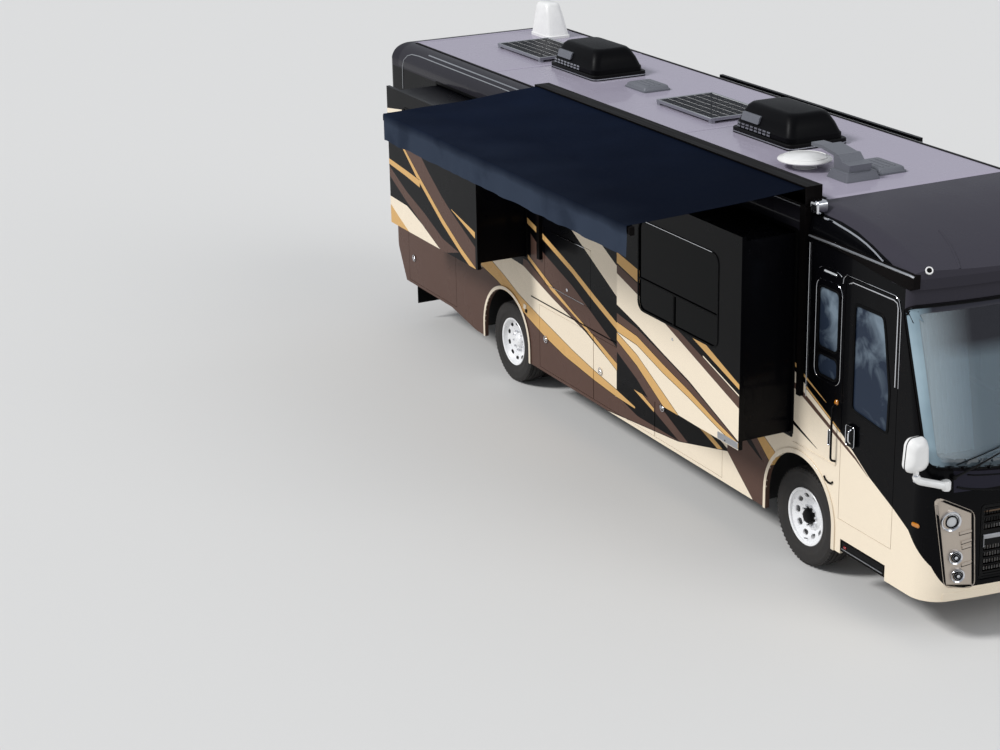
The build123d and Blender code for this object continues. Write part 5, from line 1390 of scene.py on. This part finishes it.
class MOTORHOME_OT_lamps(bpy.types.Operator):
    """Marker and clearance lamps, headlamp rims and bars, and tail lamps"""

    bl_idname = "motorhome.lamps"
    bl_label = "Lamps"

    def execute(self, context):
        parts = []
        side_skin = skin_of("front_cap", "side_skirts", "wall_right", "wall_left")
        for x, z, lens in side_lamps:
            shape = rounded(x - 0.045, x + 0.045, z - 0.02, z + 0.02, 0.018, 4)
            for side in (-1, 1):
                to = from_side(side_skin, side)
                parts.append((plate(grown(shape, 0.008), to, 0.005), "gasket"))
                parts.append((plate(shape, to, 0.016, 0.006, 0.004), lens))
        piece("marker_lamps", "coach", parts)

        # Clearance lamps along the crown
        parts = []
        crown = from_above(skin_of("front_cap"))
        ring = ((0.0, 0.036), (0.014, 0.035), (0.018, 0.031), (0.016, 0.024), (0.0, 0.023))
        lens = ((0.0, 0.0), (0.0, 0.023), (0.01, 0.023), (0.019, 0.014), (0.021, 0.0))
        for x, y in ((1.665, 1.139), (1.665, -1.139), (1.735, 0.17), (1.74, 0.0), (1.735, -0.17)):
            base = crown(x, y, -0.004)
            out = Vector((0.72, 0.35 * (y > 1) - 0.35 * (y < -1), 0.6)).normalized()
            parts.append((turned(base, out, ring, 28), "white", True))
            parts.append((turned(base, out, lens, 24), "powder"))
        piece("clearance_lamps", "coach", parts)

        # Headlamp clusters: rims, bowls and lenses of three lamps, four bars and a silver frame
        nose = skin_of("lamps")
        body_nose = skin_of("front_cap")
        parts = []
        corner = ((1.175, 1.405), (0.845, 1.235), (0.815, 0.535), (1.075, 0.575))
        for side in (-1, 1):
            to = on_nose(nose)
            for y, z, radius in ((1.052, 1.187, 0.082), (1.0, 0.839, 0.058), (0.973, 0.659, 0.058)):
                base = to(side * y, z, 0.0)
                out = Vector((1, side * 0.25, 0)).normalized()
                rim = ((-0.03, 1.16), (0.012, 1.16), (0.018, 1.1), (0.012, 0.9), (-0.03, 0.86))
                bowl = ((-0.045, 0.0), (-0.035, 0.86), (-0.028, 0.5), (-0.03, 0.0))
                dome = ((-0.022, 0.0), (-0.02, 0.86), (0.004, 0.84), (0.012, 0.6), (0.016, 0.3), (0.017, 0.0))
                ring = ((0.006, 0.74), (0.019, 0.72), (0.02, 0.6), (0.006, 0.58))
                core = ((0.01, 0.0), (0.012, 0.5), (0.02, 0.46), (0.024, 0.2), (0.024, 0.0))
                bead = ((0.02, 0.0), (0.025, 0.26), (0.029, 0.18), (0.031, 0.0))
                layers = [(rim, 36, "chrome", True), (bowl, 36, "reflector", False),
                          (dome, 36, "clear", False), (ring, 36, "powder", True)]
                if z < 1:
                    layers += [(core, 28, "powder", False), (bead, 20, "clear", False)]
                for profile, steps, key, closed in layers:
                    scaled = [(t, share * radius) for t, share in profile]
                    parts.append((turned(base, out, scaled, steps), key, closed))
            for z0, z1, reach in ((1.07, 1.055, 0.96), (0.985, 0.965, 0.94), (0.93, 0.915, 0.93),
                                  (0.765, 0.75, 0.93)):
                path = line_points((side * 0.83, z0), (side * reach, z1), 9)
                parts.append((strip(path, to, 0.03, 0.012, 0.006), "champagne"))
                parts.append((strip([(y, z - 0.019) for y, z in path], to, 0.008, 0.004), "gasket"))
            outline = smooth_corners([(side * y, z) for y, z in (corner if side > 0 else corner[::-1])], 0.05)
            parts.append((hoop(grown(outline, 0.022), on_nose(body_nose), 0.03, 0.008), "champagne", True))
        piece("headlamp_detail", "coach", parts)

        # Tail lamps: red lens with amber and clear bands in a black bezel
        parts = []
        to = on_tail(-9.434)
        for side in (-1, 1):
            y = side * 1.06
            bezel = rounded(y - 0.07, y + 0.07, 1.295, 1.705, 0.045)
            parts.append((hoop(bezel, on_tail(), 0.016, 0.008), "gasket", True))
            for z0, z1, lens in ((1.32, 1.42, "clear"), (1.43, 1.53, "amber"), (1.54, 1.68, "red")):
                shape = rounded(y - 0.05, y + 0.05, z0, z1, 0.015)
                parts.append((plate(shape, to, -0.0005, 0.002, -0.012), lens))
        for y in (-0.3, 0.0, 0.3):
            shape = rounded(y - 0.06, y + 0.06, 3.17, 3.205, 0.015)
            parts.append((plate(shape, on_tail(-9.32), 0.012, 0.004, -0.1), "red"))
        piece("tail_lamps_detail", "coach", parts)
        return {"FINISHED"}


def tier(x, y, level, length, width, radius):
    """One loop of a moulding: a rounded rectangle lying flat, by its middle and half its sizes."""
    return [at(px, py, level) for px, py in rounded(x - length, x + length, y - width, y + width, radius)]


class MOTORHOME_OT_roof(bpy.types.Operator):
    """Air conditioners, solar panels, dish, aerial, vents, dome and edge rails"""

    bl_idname = "motorhome.roof"
    bl_label = "Roof"

    def execute(self, context):
        grid = rows_tree("rows")
        # Air conditioners: a shroud of rising tiers over a tray, with vents along both sides
        middle = 0.06
        coolers = (-6.27, -2.25)
        tiers = ((0.0, 0.515, 0.335, 0.09), (0.05, 0.515, 0.335, 0.09), (0.06, 0.505, 0.325, 0.09),
                 (0.15, 0.475, 0.295, 0.1), (0.235, 0.43, 0.25, 0.1), (0.262, 0.4, 0.22, 0.1),
                 (0.27, 0.36, 0.18, 0.1))
        parts, trays = [], []
        for x in coolers:
            base = rounded(x - 0.55, x + 0.55, -0.3, 0.42, 0.07)
            trays.append((plate(base, on_top(roof_level), 0.06, 0.008), "powder"))
            trays.append((hoop(grown(base, 0.001), on_top(3.665), 0.012, 0.01), "anodised", True))
            parts.append(([tier(x - 0.03 * rise / 0.27, middle, 3.71 + rise, length, width, radius)
                           for rise, length, width, radius in tiers], "shroud"))
            opening = rounded(x - 0.4, x - 0.08, 3.8, 3.885, 0.012)
            for y, out in ((-0.262, -1), (0.382, 1)):
                to = self.leaning(y, out)
                parts.append((plate(opening, to, 0.012, 0.003, -0.03), "cast"))
        piece("ac_covers", "coach", parts + trays, replaces=("ac_units",))
        for n, x in enumerate(coolers):
            for side, word in ((-1, "right"), (1, "left")):
                grown_from_nodes(
                    f"ac_vents_{n}_{word}", "coach", grid, Length=0.55, Width=0.03, Columns=8, Rows=2,
                    Block=(0.056, 0.018, 0.012), Centre=at(x - 0.15, middle + side * 0.334, 3.745),
                    Turn=(side * radians(-84), 0.0, 0.0), Material=shared("anodised"))

        # Solar panels: a frame on four feet, and cells on a white sheet that shows between them
        parts = []
        panels = (-7.635, -3.745)
        half_length, half_width = 0.565, 0.3625
        for x in panels:
            outline = rounded(x - half_length, x + half_length, middle - half_width, middle + half_width,
                              0.006, 1)
            parts.append((hoop(outline, on_top(3.675), 0.022, 0.0335, 0.002, 0.0), "anodised", True))
            parts.append((plate(grown(outline, -0.02), on_top(3.675), 0.028, 0.001, 0.002), "white"))
            for foot_x in (x - 0.535, x + 0.535):
                for foot_y in (middle - 0.33, middle + 0.33):
                    foot = rounded(foot_x - 0.03, foot_x + 0.03, foot_y - 0.025, foot_y + 0.025, 0.005, 1)
                    parts.append((plate(foot, on_top(roof_level), 0.026), "anodised"))
        piece("solar_frames", "coach", parts, replaces=("solar_panels",))
        for n, x in enumerate(panels):
            grown_from_nodes(
                f"solar_cells_{n}", "coach", grid, Length=0.962, Width=0.556, Columns=9, Rows=6,
                Block=(0.1105, 0.101, 0.002), Centre=at(x, middle, 3.704), Material=shared("cell"))

        # Satellite dish, folded aerial, vents and the rear dome
        parts = []
        dish = at(-1.12, -0.52, roof_level)
        profile = ((0.0, 0.0), (0.0, 0.12), (0.012, 0.12), (0.016, 0.1), (0.055, 0.085), (0.068, 0.2),
                   (0.076, 0.266), (0.086, 0.27), (0.096, 0.262), (0.118, 0.19), (0.13, 0.1), (0.134, 0.0))
        rib = ((0.1, 0.225), (0.112, 0.222), (0.116, 0.214), (0.106, 0.21))
        parts.append((turned(dish, (0, 0, 1), profile, 56), "white"))
        parts.append((turned(dish, (0, 0, 1), rib, 56), "white", True))
        vent = ((0.0, 0.0), (0.018, 0.0), (0.024, 0.012), (0.05, 0.02), (0.06, 0.035))
        for x, y, length, width in ((-5.1, 0.055, 0.23, 0.175), (-0.68, 0.045, 0.235, 0.165)):
            parts.append(([tier(x, y, roof_level + rise, length - short, width - short, 0.03)
                           for rise, short in vent], "cast"))
            for line in (y - 0.07, y, y + 0.07):
                run = [(x - length + 0.08, line), (x + length - 0.08, line)]
                parts.append((strip(run, on_top(3.71), 0.016, 0.006), "cast"))
        # Aerial folded back over the dish: flared foot, stepped housing and two-part arm
        foot = ((0.0, 0.0, 0.02), (0.012, 0.0, 0.02), (0.07, 0.022, 0.02), (0.08, 0.022, 0.02),
                (0.084, 0.03, 0.015))
        parts.append(([tier(-0.54, -0.36, roof_level + rise, 0.17 - short, 0.195 - short, radius)
                       for rise, short, radius in foot], "cast"))
        housing = [(-0.66, 3.72), (-0.42, 3.72), (-0.41, 3.805), (-0.53, 3.815), (-0.6, 3.878),
                   (-0.68, 3.872)]
        parts.append((plate(housing, self.upright(-0.5), 0.27, 0.014, 0.0), "cast"))
        thick = 0.035
        for x0, z0, x1, z1, y, width in ((-0.9, 3.915, -0.6, 3.872, -0.49, 0.24),
                                         (-1.09, 3.9, -0.86, 3.905, -0.47, 0.15)):
            arm = [(x0, z0 - thick), (x1, z1 - thick), (x1, z1), (x0, z0)]
            parts.append((plate(arm, self.upright(y), width, 0.006, 0.0), "cast"))
        # Dome: tiers that step back as they rise
        dome = ((0.0, 0.26, 0.165, 0.06, 0.0), (0.03, 0.26, 0.165, 0.06, 0.0),
                (0.04, 0.245, 0.155, 0.06, 0.004), (0.25, 0.2, 0.125, 0.06, 0.03),
                (0.38, 0.168, 0.105, 0.06, 0.05), (0.415, 0.15, 0.092, 0.06, 0.056),
                (0.43, 0.12, 0.07, 0.05, 0.06))
        parts.append(([tier(-8.57 - back, 0.65, roof_level + rise, length, width, radius)
                       for rise, length, width, radius, back in dome], "white"))
        piece("roof_equipment", "coach", parts, replaces=("roof_fittings",))

        # Edge rails and seam tapes of the membrane
        parts = []
        for y in (-1.035, 1.035):
            parts.append((strip([(-9.05, y), (-0.03, y)], on_top(3.648), 0.035, 0.008), "bronze"))
        for x in (-9.06, -6.9, -3.0, -0.02):
            parts.append((strip([(x, -1.03), (x, 1.03)], on_top(roof_level), 0.07, 0.002, 0.0005),
                          "membrane"))
        piece("roof_rails", "coach", parts)
        return {"FINISHED"}

    @staticmethod
    def leaning(y, out):
        """Places (x, z, height) on an end of a shroud, which leans in as it rises."""
        lean = 0.026 / 0.085
        return lambda x, z, height: at(x, y - out * (lean * (z - 3.8) - height), z)

    @staticmethod
    def upright(y):
        """Places (x, z, height) on an upright plane along the coach."""
        return lambda x, z, height: at(x, y + height, z)


class MOTORHOME_OT_front(bpy.types.Operator):
    """Windshield edge and gasket, hood creases, crown ledge, grille bars and bumper strip"""

    bl_idname = "motorhome.front"
    bl_label = "Front"

    def execute(self, context):
        nose = skin_of("front_cap", "grille", "windshield")
        to = on_nose(nose)
        parts = []
        # The glass laps over the pillars, and a gasket and a slim dark bead run round it
        across = [1 - k / 10 for k in range(21)]
        sill = [(-1.19 * t, 1.665 + 0.095 * t * t) for t in across]
        opening = dense_outline(smooth_corners(sill + [(1.21, 3.03), (-1.21, 3.03)], 0.07, 6), 0.05)
        inner, edge = grown(opening, -0.02), grown(opening, 0.012)
        lap = [(y * 1.055, z - 0.045 + 0.075 * (z - 1.7) / 1.33) for y, z in edge]
        round_corner = self.over_pillars(nose)
        steps = 6
        rows = []
        for behind, start, end in zip(*(ring + ring[:1] for ring in (inner, edge, lap))):
            outwards = [Vector(start).lerp(Vector(end), k / steps) for k in range(steps + 1)]
            rows.append([round_corner(*behind, 0.003)] + [round_corner(*spot, 0.007) for spot in outwards])
        sheet_piece("windshield_lap", "coach", rows, (-0.004, 0, 0), "lap")
        parts.append((hoop(grown(lap, 0.009), round_corner, 0.02, 0.01), "gasket", True))
        parts.append((hoop(grown(lap, 0.021), round_corner, 0.006, 0.009, 0.002), "bronze", True))
        # Hood panel: two raised creases on each side that run to the middle
        for side in (-1, 1):
            for y0, z0, y1, z1, width in ((1.0, 1.5, 0.35, 1.39, 0.02), (0.9, 1.6, 0.3, 1.54, 0.014)):
                shares = [k / 10 for k in range(11)]
                path = [(side * (y0 + (y1 - y0) * t), z0 + (z1 - z0) * t ** 0.7) for t in shares]
                parts.append((strip(path, to, width, 0.008, 0.006), "gloss"))
        # Crown: tapering ledge with a bright lip, a fine bright arc over it and a crease on top; the bright
        # lip and arc stand for the highlights along the ledge and the crown's curved edge, painted highlights
        skin = skin_of("front_cap")
        over = from_above(skin)
        for side in (-1, 1):
            beside = from_side(skin, side)
            loops, lip = [], []
            for x, top, foot, edge in (
                (0.13, 3.382, 3.352, 1.275), (0.45, 3.384, 3.345, 1.275), (0.7, 3.385, 3.332, 1.275),
                (1.2, 3.384, 3.27, 1.272), (1.5, 3.38, 3.242, 1.262), (1.6, 3.376, 3.232, 1.25),
                (1.645, 3.366, 3.25, 1.238),
            ):
                section = ((-0.03, top + 0.012), (0.042, top - 0.004), (0.05, top - 0.014),
                           (0.04, foot + 0.012), (0.026, foot), (-0.03, foot))
                loops.append([at(x, side * (edge + out), z) for out, z in section])
                lip.append(at(x, side * (edge + 0.043), top - 0.003))
            parts.append((loops, "bronze"))
            # Painted highlight: the bright lip along the ledge's top
            parts.append((tube(lip, 0.011, 8), "anodised"))
            # Painted highlight: the bright arc along the crown's curved edge
            arc = [(0.133, 3.548), (0.351, 3.544), (0.619, 3.516), (0.76, 3.497), (0.898, 3.472),
                   (1.05, 3.434), (1.192, 3.388)]
            parts.append((strip(arc, beside, 0.015, 0.007), "chrome"))
            crease = [(x, side * y) for x, y in (
                (1.082, 0.589), (1.22, 0.627), (1.351, 0.675), (1.48, 0.73), (1.6, 0.785), (1.716, 0.847))]
            parts.append((strip(crease, over, 0.022, 0.007, 0.006), "nose_paint"))
        # Bumper strip under the grille
        for side in (-1, 1):
            path = [(side * y, 0.455) for y in (0.04, 0.25, 0.5, 0.78, 0.98, 1.1)]
            parts.append((strip(path, to, 0.075, 0.005, 0.003), "nose_paint"))
        piece("nose_detail", "coach", parts)

        grille = on_nose(skin_of("grille"))
        parts = []
        for z, reach, width, height, bevel, material in (
            (0.945, 0.726, 0.125, 0.014, 0.006, "anodised"),
            (0.7, 0.69, 0.012, 0.01, 0.004, "gloss"), (1.16, 0.69, 0.012, 0.01, 0.004, "gloss"),
        ):
            path = line_points((-reach, z), (reach, z), 25)
            parts.append((strip(path, grille, width, height, bevel), material))
        ring = dense_outline(rounded(-0.755, 0.755, 0.59, 1.295, 0.035), 0.09)
        parts.append((hoop(ring, grille, 0.014, 0.01, 0.004), "gloss", True))
        piece("grille_trims", "coach", parts)
        # Fine upright bars behind them
        grown_from_nodes(
            "grille_mesh", "coach", rows_tree("grille_bars"), Length=0.33, Width=1.36, Columns=2, Rows=46,
            Block=(0.335, 0.007, 0.007), Centre=at(2.045, 0.0, 0.94), Turn=(0.0, radians(90), 0.0),
            Material=shared("gasket"))
        return {"FINISHED"}

    @staticmethod
    def over_pillars(tree):
        """Places (y along the skin, z, height) on the nose and round its corners beside the windshield."""
        ahead = on_nose(tree)
        flat, bend = 1.12, 0.14

        def place(y, z, height):
            side = 1 if y > 0 else -1
            if abs(y) <= flat:
                return ahead(y, z, height)
            turn = (abs(y) - flat) / bend
            out = Vector((cos(turn), side * sin(turn), 0))
            heart = ahead(side * flat, z, 0) - Vector((bend, 0, 0))
            # The seam beside the glass is bridged by the highest of three places
            reach = [bend - 0.01]
            for aside in (-0.005, 0.0, 0.005):
                hit, *_ = tree.ray_cast(heart + out + Vector((-out.y, out.x, 0)) * aside, -out)
                if hit is not None:
                    reach.append((hit - heart).dot(out))
            return heart + out * (max(reach) + height)
        return place


def dense_outline(points, step):
    """A closed outline with extra points, so that it can follow a curved surface."""
    out = []
    for here, after in zip(points, points[1:] + points[:1]):
        here, after = Vector(here), Vector(after)
        count = max(1, int((after - here).length / step))
        out += [tuple(here.lerp(after, k / count)) for k in range(count)]
    return out


class MOTORHOME_OT_mirrors(bpy.types.Operator):
    """Mirror heads with their glass and arms, and the wipers"""

    bl_idname = "motorhome.mirrors"
    bl_label = "Mirrors and wipers"

    def execute(self, context):
        parts = []
        for side in (-1, 1):
            shell = ((-0.078, 0.055, 0.05), (-0.072, 0.025, 0.06), (-0.06, 0.01, 0.07), (-0.02, 0.0, 0.075),
                     (0.02, 0.006, 0.075), (0.055, 0.028, 0.07), (0.07, 0.055, 0.05), (0.075, 0.09, 0.03))
            loops = []
            for ahead, short, radius in shell:
                outline = self.tapered(side, 0.125 - short, 1.695 + short * 1.3, 2.02 - short * 1.3, radius)
                loops.append([at(1.95 + ahead, y, z) for y, z in outline])
            parts.append((loops, "white"))
            glass = self.tapered(side, 0.095, 1.74, 1.975, 0.04)
            parts.append((plate(glass, lambda y, z, h: at(1.8735 - h, y, z), 0.004), "reflector"))
            seam = self.tapered(side, 0.128, 1.692, 2.023, 0.077)
            parts.append((hoop(seam, lambda y, z, h: at(1.935 + h, y, z), 0.006, 0.006), "gasket", True))
            route = ((2.0, 1.13, 1.55), (2.07, 1.16, 1.56), (1.955, 1.4, 1.62), (1.95, 1.4, 1.72))
            path = bent([at(x, side * y, z) for x, y, z in route], 0.05, 6)
            thick = [0.04, 0.04] + [0.036] * (len(path) - 4) + [0.026, 0.026]
            parts.append((tube(path, thick, 14), "white"))
            knuckle = ((-0.045, 0.0), (-0.045, 0.034), (-0.03, 0.042), (0.03, 0.042), (0.045, 0.034),
                       (0.045, 0.0))
            collar = ((-0.03, 0.0), (-0.03, 0.026), (0.02, 0.03), (0.035, 0.024), (0.035, 0.0))
            up = (0, 0, 1)
            parts.append((turned(at(2.06, side * 1.15, 1.56), up, knuckle, 24), "white"))
            parts.append((turned(at(1.955, side * 1.4, 1.64), up, collar, 24), "chrome"))
        piece("mirror_heads", "coach", parts, replaces=("mirrors",))

        parts = []
        to = on_nose(skin_of("windshield", "front_cap"))
        hub = ((-0.03, 0.0), (-0.03, 0.026), (0.03, 0.024), (0.04, 0.016), (0.042, 0.0))
        arm = ((1.04, 1.6, 0.03), (0.82, 1.675, 0.045), (0.56, 1.76, 0.036))
        for side in (-1, 1):
            parts.append((turned(to(side * 1.04, 1.6, 0.0), (1, 0, 0), hub, 20), "powder"))
            spots = [to(side * y, z, height) for y, z, height in arm]
            parts.append((tube(spots, (0.012, 0.009, 0.006), 8), "powder"))
            blade = [to(y, z, 0.016) for y, z in line_points((side * 1.0, 1.7), (side * 0.1, 1.91), 15)]
            parts.append((tube(blade, 0.008, 8, 0.6), "powder"))
            rubber = [to(y, z, 0.006) for y, z in line_points((side * 1.0, 1.696), (side * 0.1, 1.906), 15)]
            parts.append((tube(rubber, 0.006, 6, 0.5), "gasket"))
        piece("wiper_arms", "coach", parts, replaces=("wipers",))
        return {"FINISHED"}

    @staticmethod
    def tapered(side, half, low, high, radius):
        """Outline of a mirror head that grows narrower towards its top."""
        outline = rounded(-half, half, low, high, radius, 6)
        return [(side * 1.4 + y * (1 - 0.2 * (z - 1.69) / 0.33), z) for y, z in outline]


class MOTORHOME_OT_cabin(bpy.types.Operator):
    """Curtains and padded seats behind the windshield"""

    bl_idname = "motorhome.cabin"
    bl_label = "Cabin"

    def execute(self, context):
        # Pleated curtains drawn back at each side of the windshield
        foot, head = 1.72, 3.0
        wide, deep = 119, 8
        for side, word in ((-1, "right"), (1, "left")):
            hems = []
            for z in (foot, head):
                row = []
                for j in range(wide + 1):
                    u = j / wide
                    lag = 0.15 * u ** 2.2
                    x = 1.905 - (z - foot) * 0.19 - lag + 0.018 * sin(u * 70) - 0.1
                    row.append(at(x, side * (0.66 + 0.51 * u), z))
                hems.append(row)
            rows = [[a.lerp(b, k / deep) for a, b in zip(*hems)] for k in range(deep + 1)]
            drape = sheet_piece(f"curtain_{word}", "coach", rows, (0.0015, 0, 0), "curtain")

        # Seats: cushions, backs and heads as padded pieces on one turned foot each
        for x, y, word in ((0.9, 0.64, "driver"), (0.32, -0.64, "passenger")):
            for part, lo, hi, lean in (
                ("cushion", (x - 0.25, y - 0.25, 1.6), (x + 0.28, y + 0.25, 1.74), 0.0),
                ("back", (x - 0.36, y - 0.25, 1.7), (x - 0.2, y + 0.25, 2.16), -0.1),
                ("head", (x - 0.41, y - 0.14, 2.15), (x - 0.3, y + 0.14, 2.33), -0.06),
            ):
                pad = cushion(f"seat_{word}_{part}", lo, hi, lean)
                pad.data.materials.append(shared("leather"))
                if part == "cushion" and word == "driver":
                    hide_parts("cab_seats")
            stem = ((0.0, 0.0), (0.0, 0.19), (0.02, 0.19), (0.03, 0.08), (0.26, 0.07), (0.3, 0.16),
                    (0.33, 0.2), (0.33, 0.0))
            piece(f"seat_{word}_foot", "coach", [(turned(at(x, y, 1.27), (0, 0, 1), stem, 32), "powder")])
        return {"FINISHED"}


def cushion(name, low, high, lean):
    """A crowned pad between two corners, leaning back towards its top, with sewn channels across it."""
    cells = 10
    size = [b - a for a, b in zip(low, high)]
    mesh = bpy.data.meshes.new(name)
    shape = bmesh.new()
    bmesh.ops.create_cube(shape, size=1.0)
    bmesh.ops.subdivide_edges(shape, edges=shape.edges, cuts=cells, use_grid_fill=True)
    for vert in shape.verts:
        p = [c * 2 for c in vert.co]
        full = [(1 - abs(p[(k + 1) % 3]) ** 4) * (1 - abs(p[(k + 2) % 3]) ** 4) for k in range(3)]
        soft = [p[k] * (0.8 + 0.2 * full[k]) for k in range(3)]
        # Sewn channels across the pad
        channel = 0.012 * (1 - abs(sin(p[1] * pi * 1.5)) ** 0.35)
        spot = [low[k] + size[k] * (soft[k] + 1) / 2 for k in range(3)]
        thin = min(range(3), key=lambda k: size[k])
        spot[thin] -= (1 if p[thin] > 0 else -1) * channel * full[thin]
        spot[0] += lean * (spot[2] - low[2])
        vert.co = at(*spot)
    end_mesh(shape, mesh)
    return riding(name, mesh, "coach")


class MOTORHOME_OT_rear(bpy.types.Operator):
    """Seam, frame, locks and screws of the rear lid, and a blank plate"""

    bl_idname = "motorhome.rear"
    bl_label = "Rear"

    def execute(self, context):
        parts = []
        face = on_tail()
        parts.append((hoop(rounded(-0.86, 0.86, 1.24, 1.94, 0.07), face, 0.012, 0.004), "gasket", True))
        parts.append((hoop(rounded(-0.8, 0.8, 1.3, 1.8, 0.04), face, 0.014, 0.012), "bronze", True))
        parts.append((plate(rounded(-0.17, 0.17, 1.06, 1.22, 0.012), face, 0.006), "powder"))
        for y in (-0.45, 0.45):
            lock = lock_face(0.018, 0.012, 0.005)
            parts.append((turned(face(y, 1.9, 0), (-1, 0, 0), lock, 20), "chrome"))
        piece("rear_lid_trims", "coach", parts)
        grown_from_nodes(
            "rear_lid_screws", "coach", rows_tree("studs"), Length=1.5, Width=0.44, Columns=9, Rows=2,
            Block=(0.014, 0.014, 0.006), Centre=at(-9.434, 0.0, 1.55),
            Turn=(radians(90), 0.0, radians(-90)), Material=shared("chrome"))
        return {"FINISHED"}


operators = (
    MOTORHOME_OT_stage, MOTORHOME_OT_finishes, MOTORHOME_OT_awning, MOTORHOME_OT_tyres, MOTORHOME_OT_hubs,
    MOTORHOME_OT_windows, MOTORHOME_OT_trims, MOTORHOME_OT_lamps, MOTORHOME_OT_roof, MOTORHOME_OT_front,
    MOTORHOME_OT_mirrors, MOTORHOME_OT_cabin, MOTORHOME_OT_rear,
)


class MOTORHOME_PT_panel(bpy.types.Panel):
    """Lists the steps and the values of the dressing"""

    bl_label = "Motorhome"
    bl_idname = "MOTORHOME_PT_panel"
    bl_space_type = "VIEW_3D"
    bl_region_type = "UI"
    bl_category = "Motorhome"

    def draw(self, context):
        for group in (context.scene.motorhome_colours, context.scene.motorhome_sizes):
            for name in group.__annotations__:
                self.layout.prop(group, name)
        for operator in operators:
            self.layout.operator(operator.bl_idname)


classes = (CoachColours, CoachSizes) + operators + (MOTORHOME_PT_panel,)


def register():
    for cls in classes:
        bpy.utils.register_class(cls)
    bpy.types.Scene.motorhome_colours = bpy.props.PointerProperty(type=CoachColours)
    bpy.types.Scene.motorhome_sizes = bpy.props.PointerProperty(type=CoachSizes)


def unregister():
    del bpy.types.Scene.motorhome_sizes
    del bpy.types.Scene.motorhome_colours
    for cls in reversed(classes):
        bpy.utils.unregister_class(cls)


def main():
    register()
    for operator in operators:
        group, name = operator.bl_idname.split(".")
        result = getattr(getattr(bpy.ops, group), name)()
        if result != {"FINISHED"}:
            raise RuntimeError(f"{operator.bl_label} did not finish")


if __name__ == "__main__":
    main()
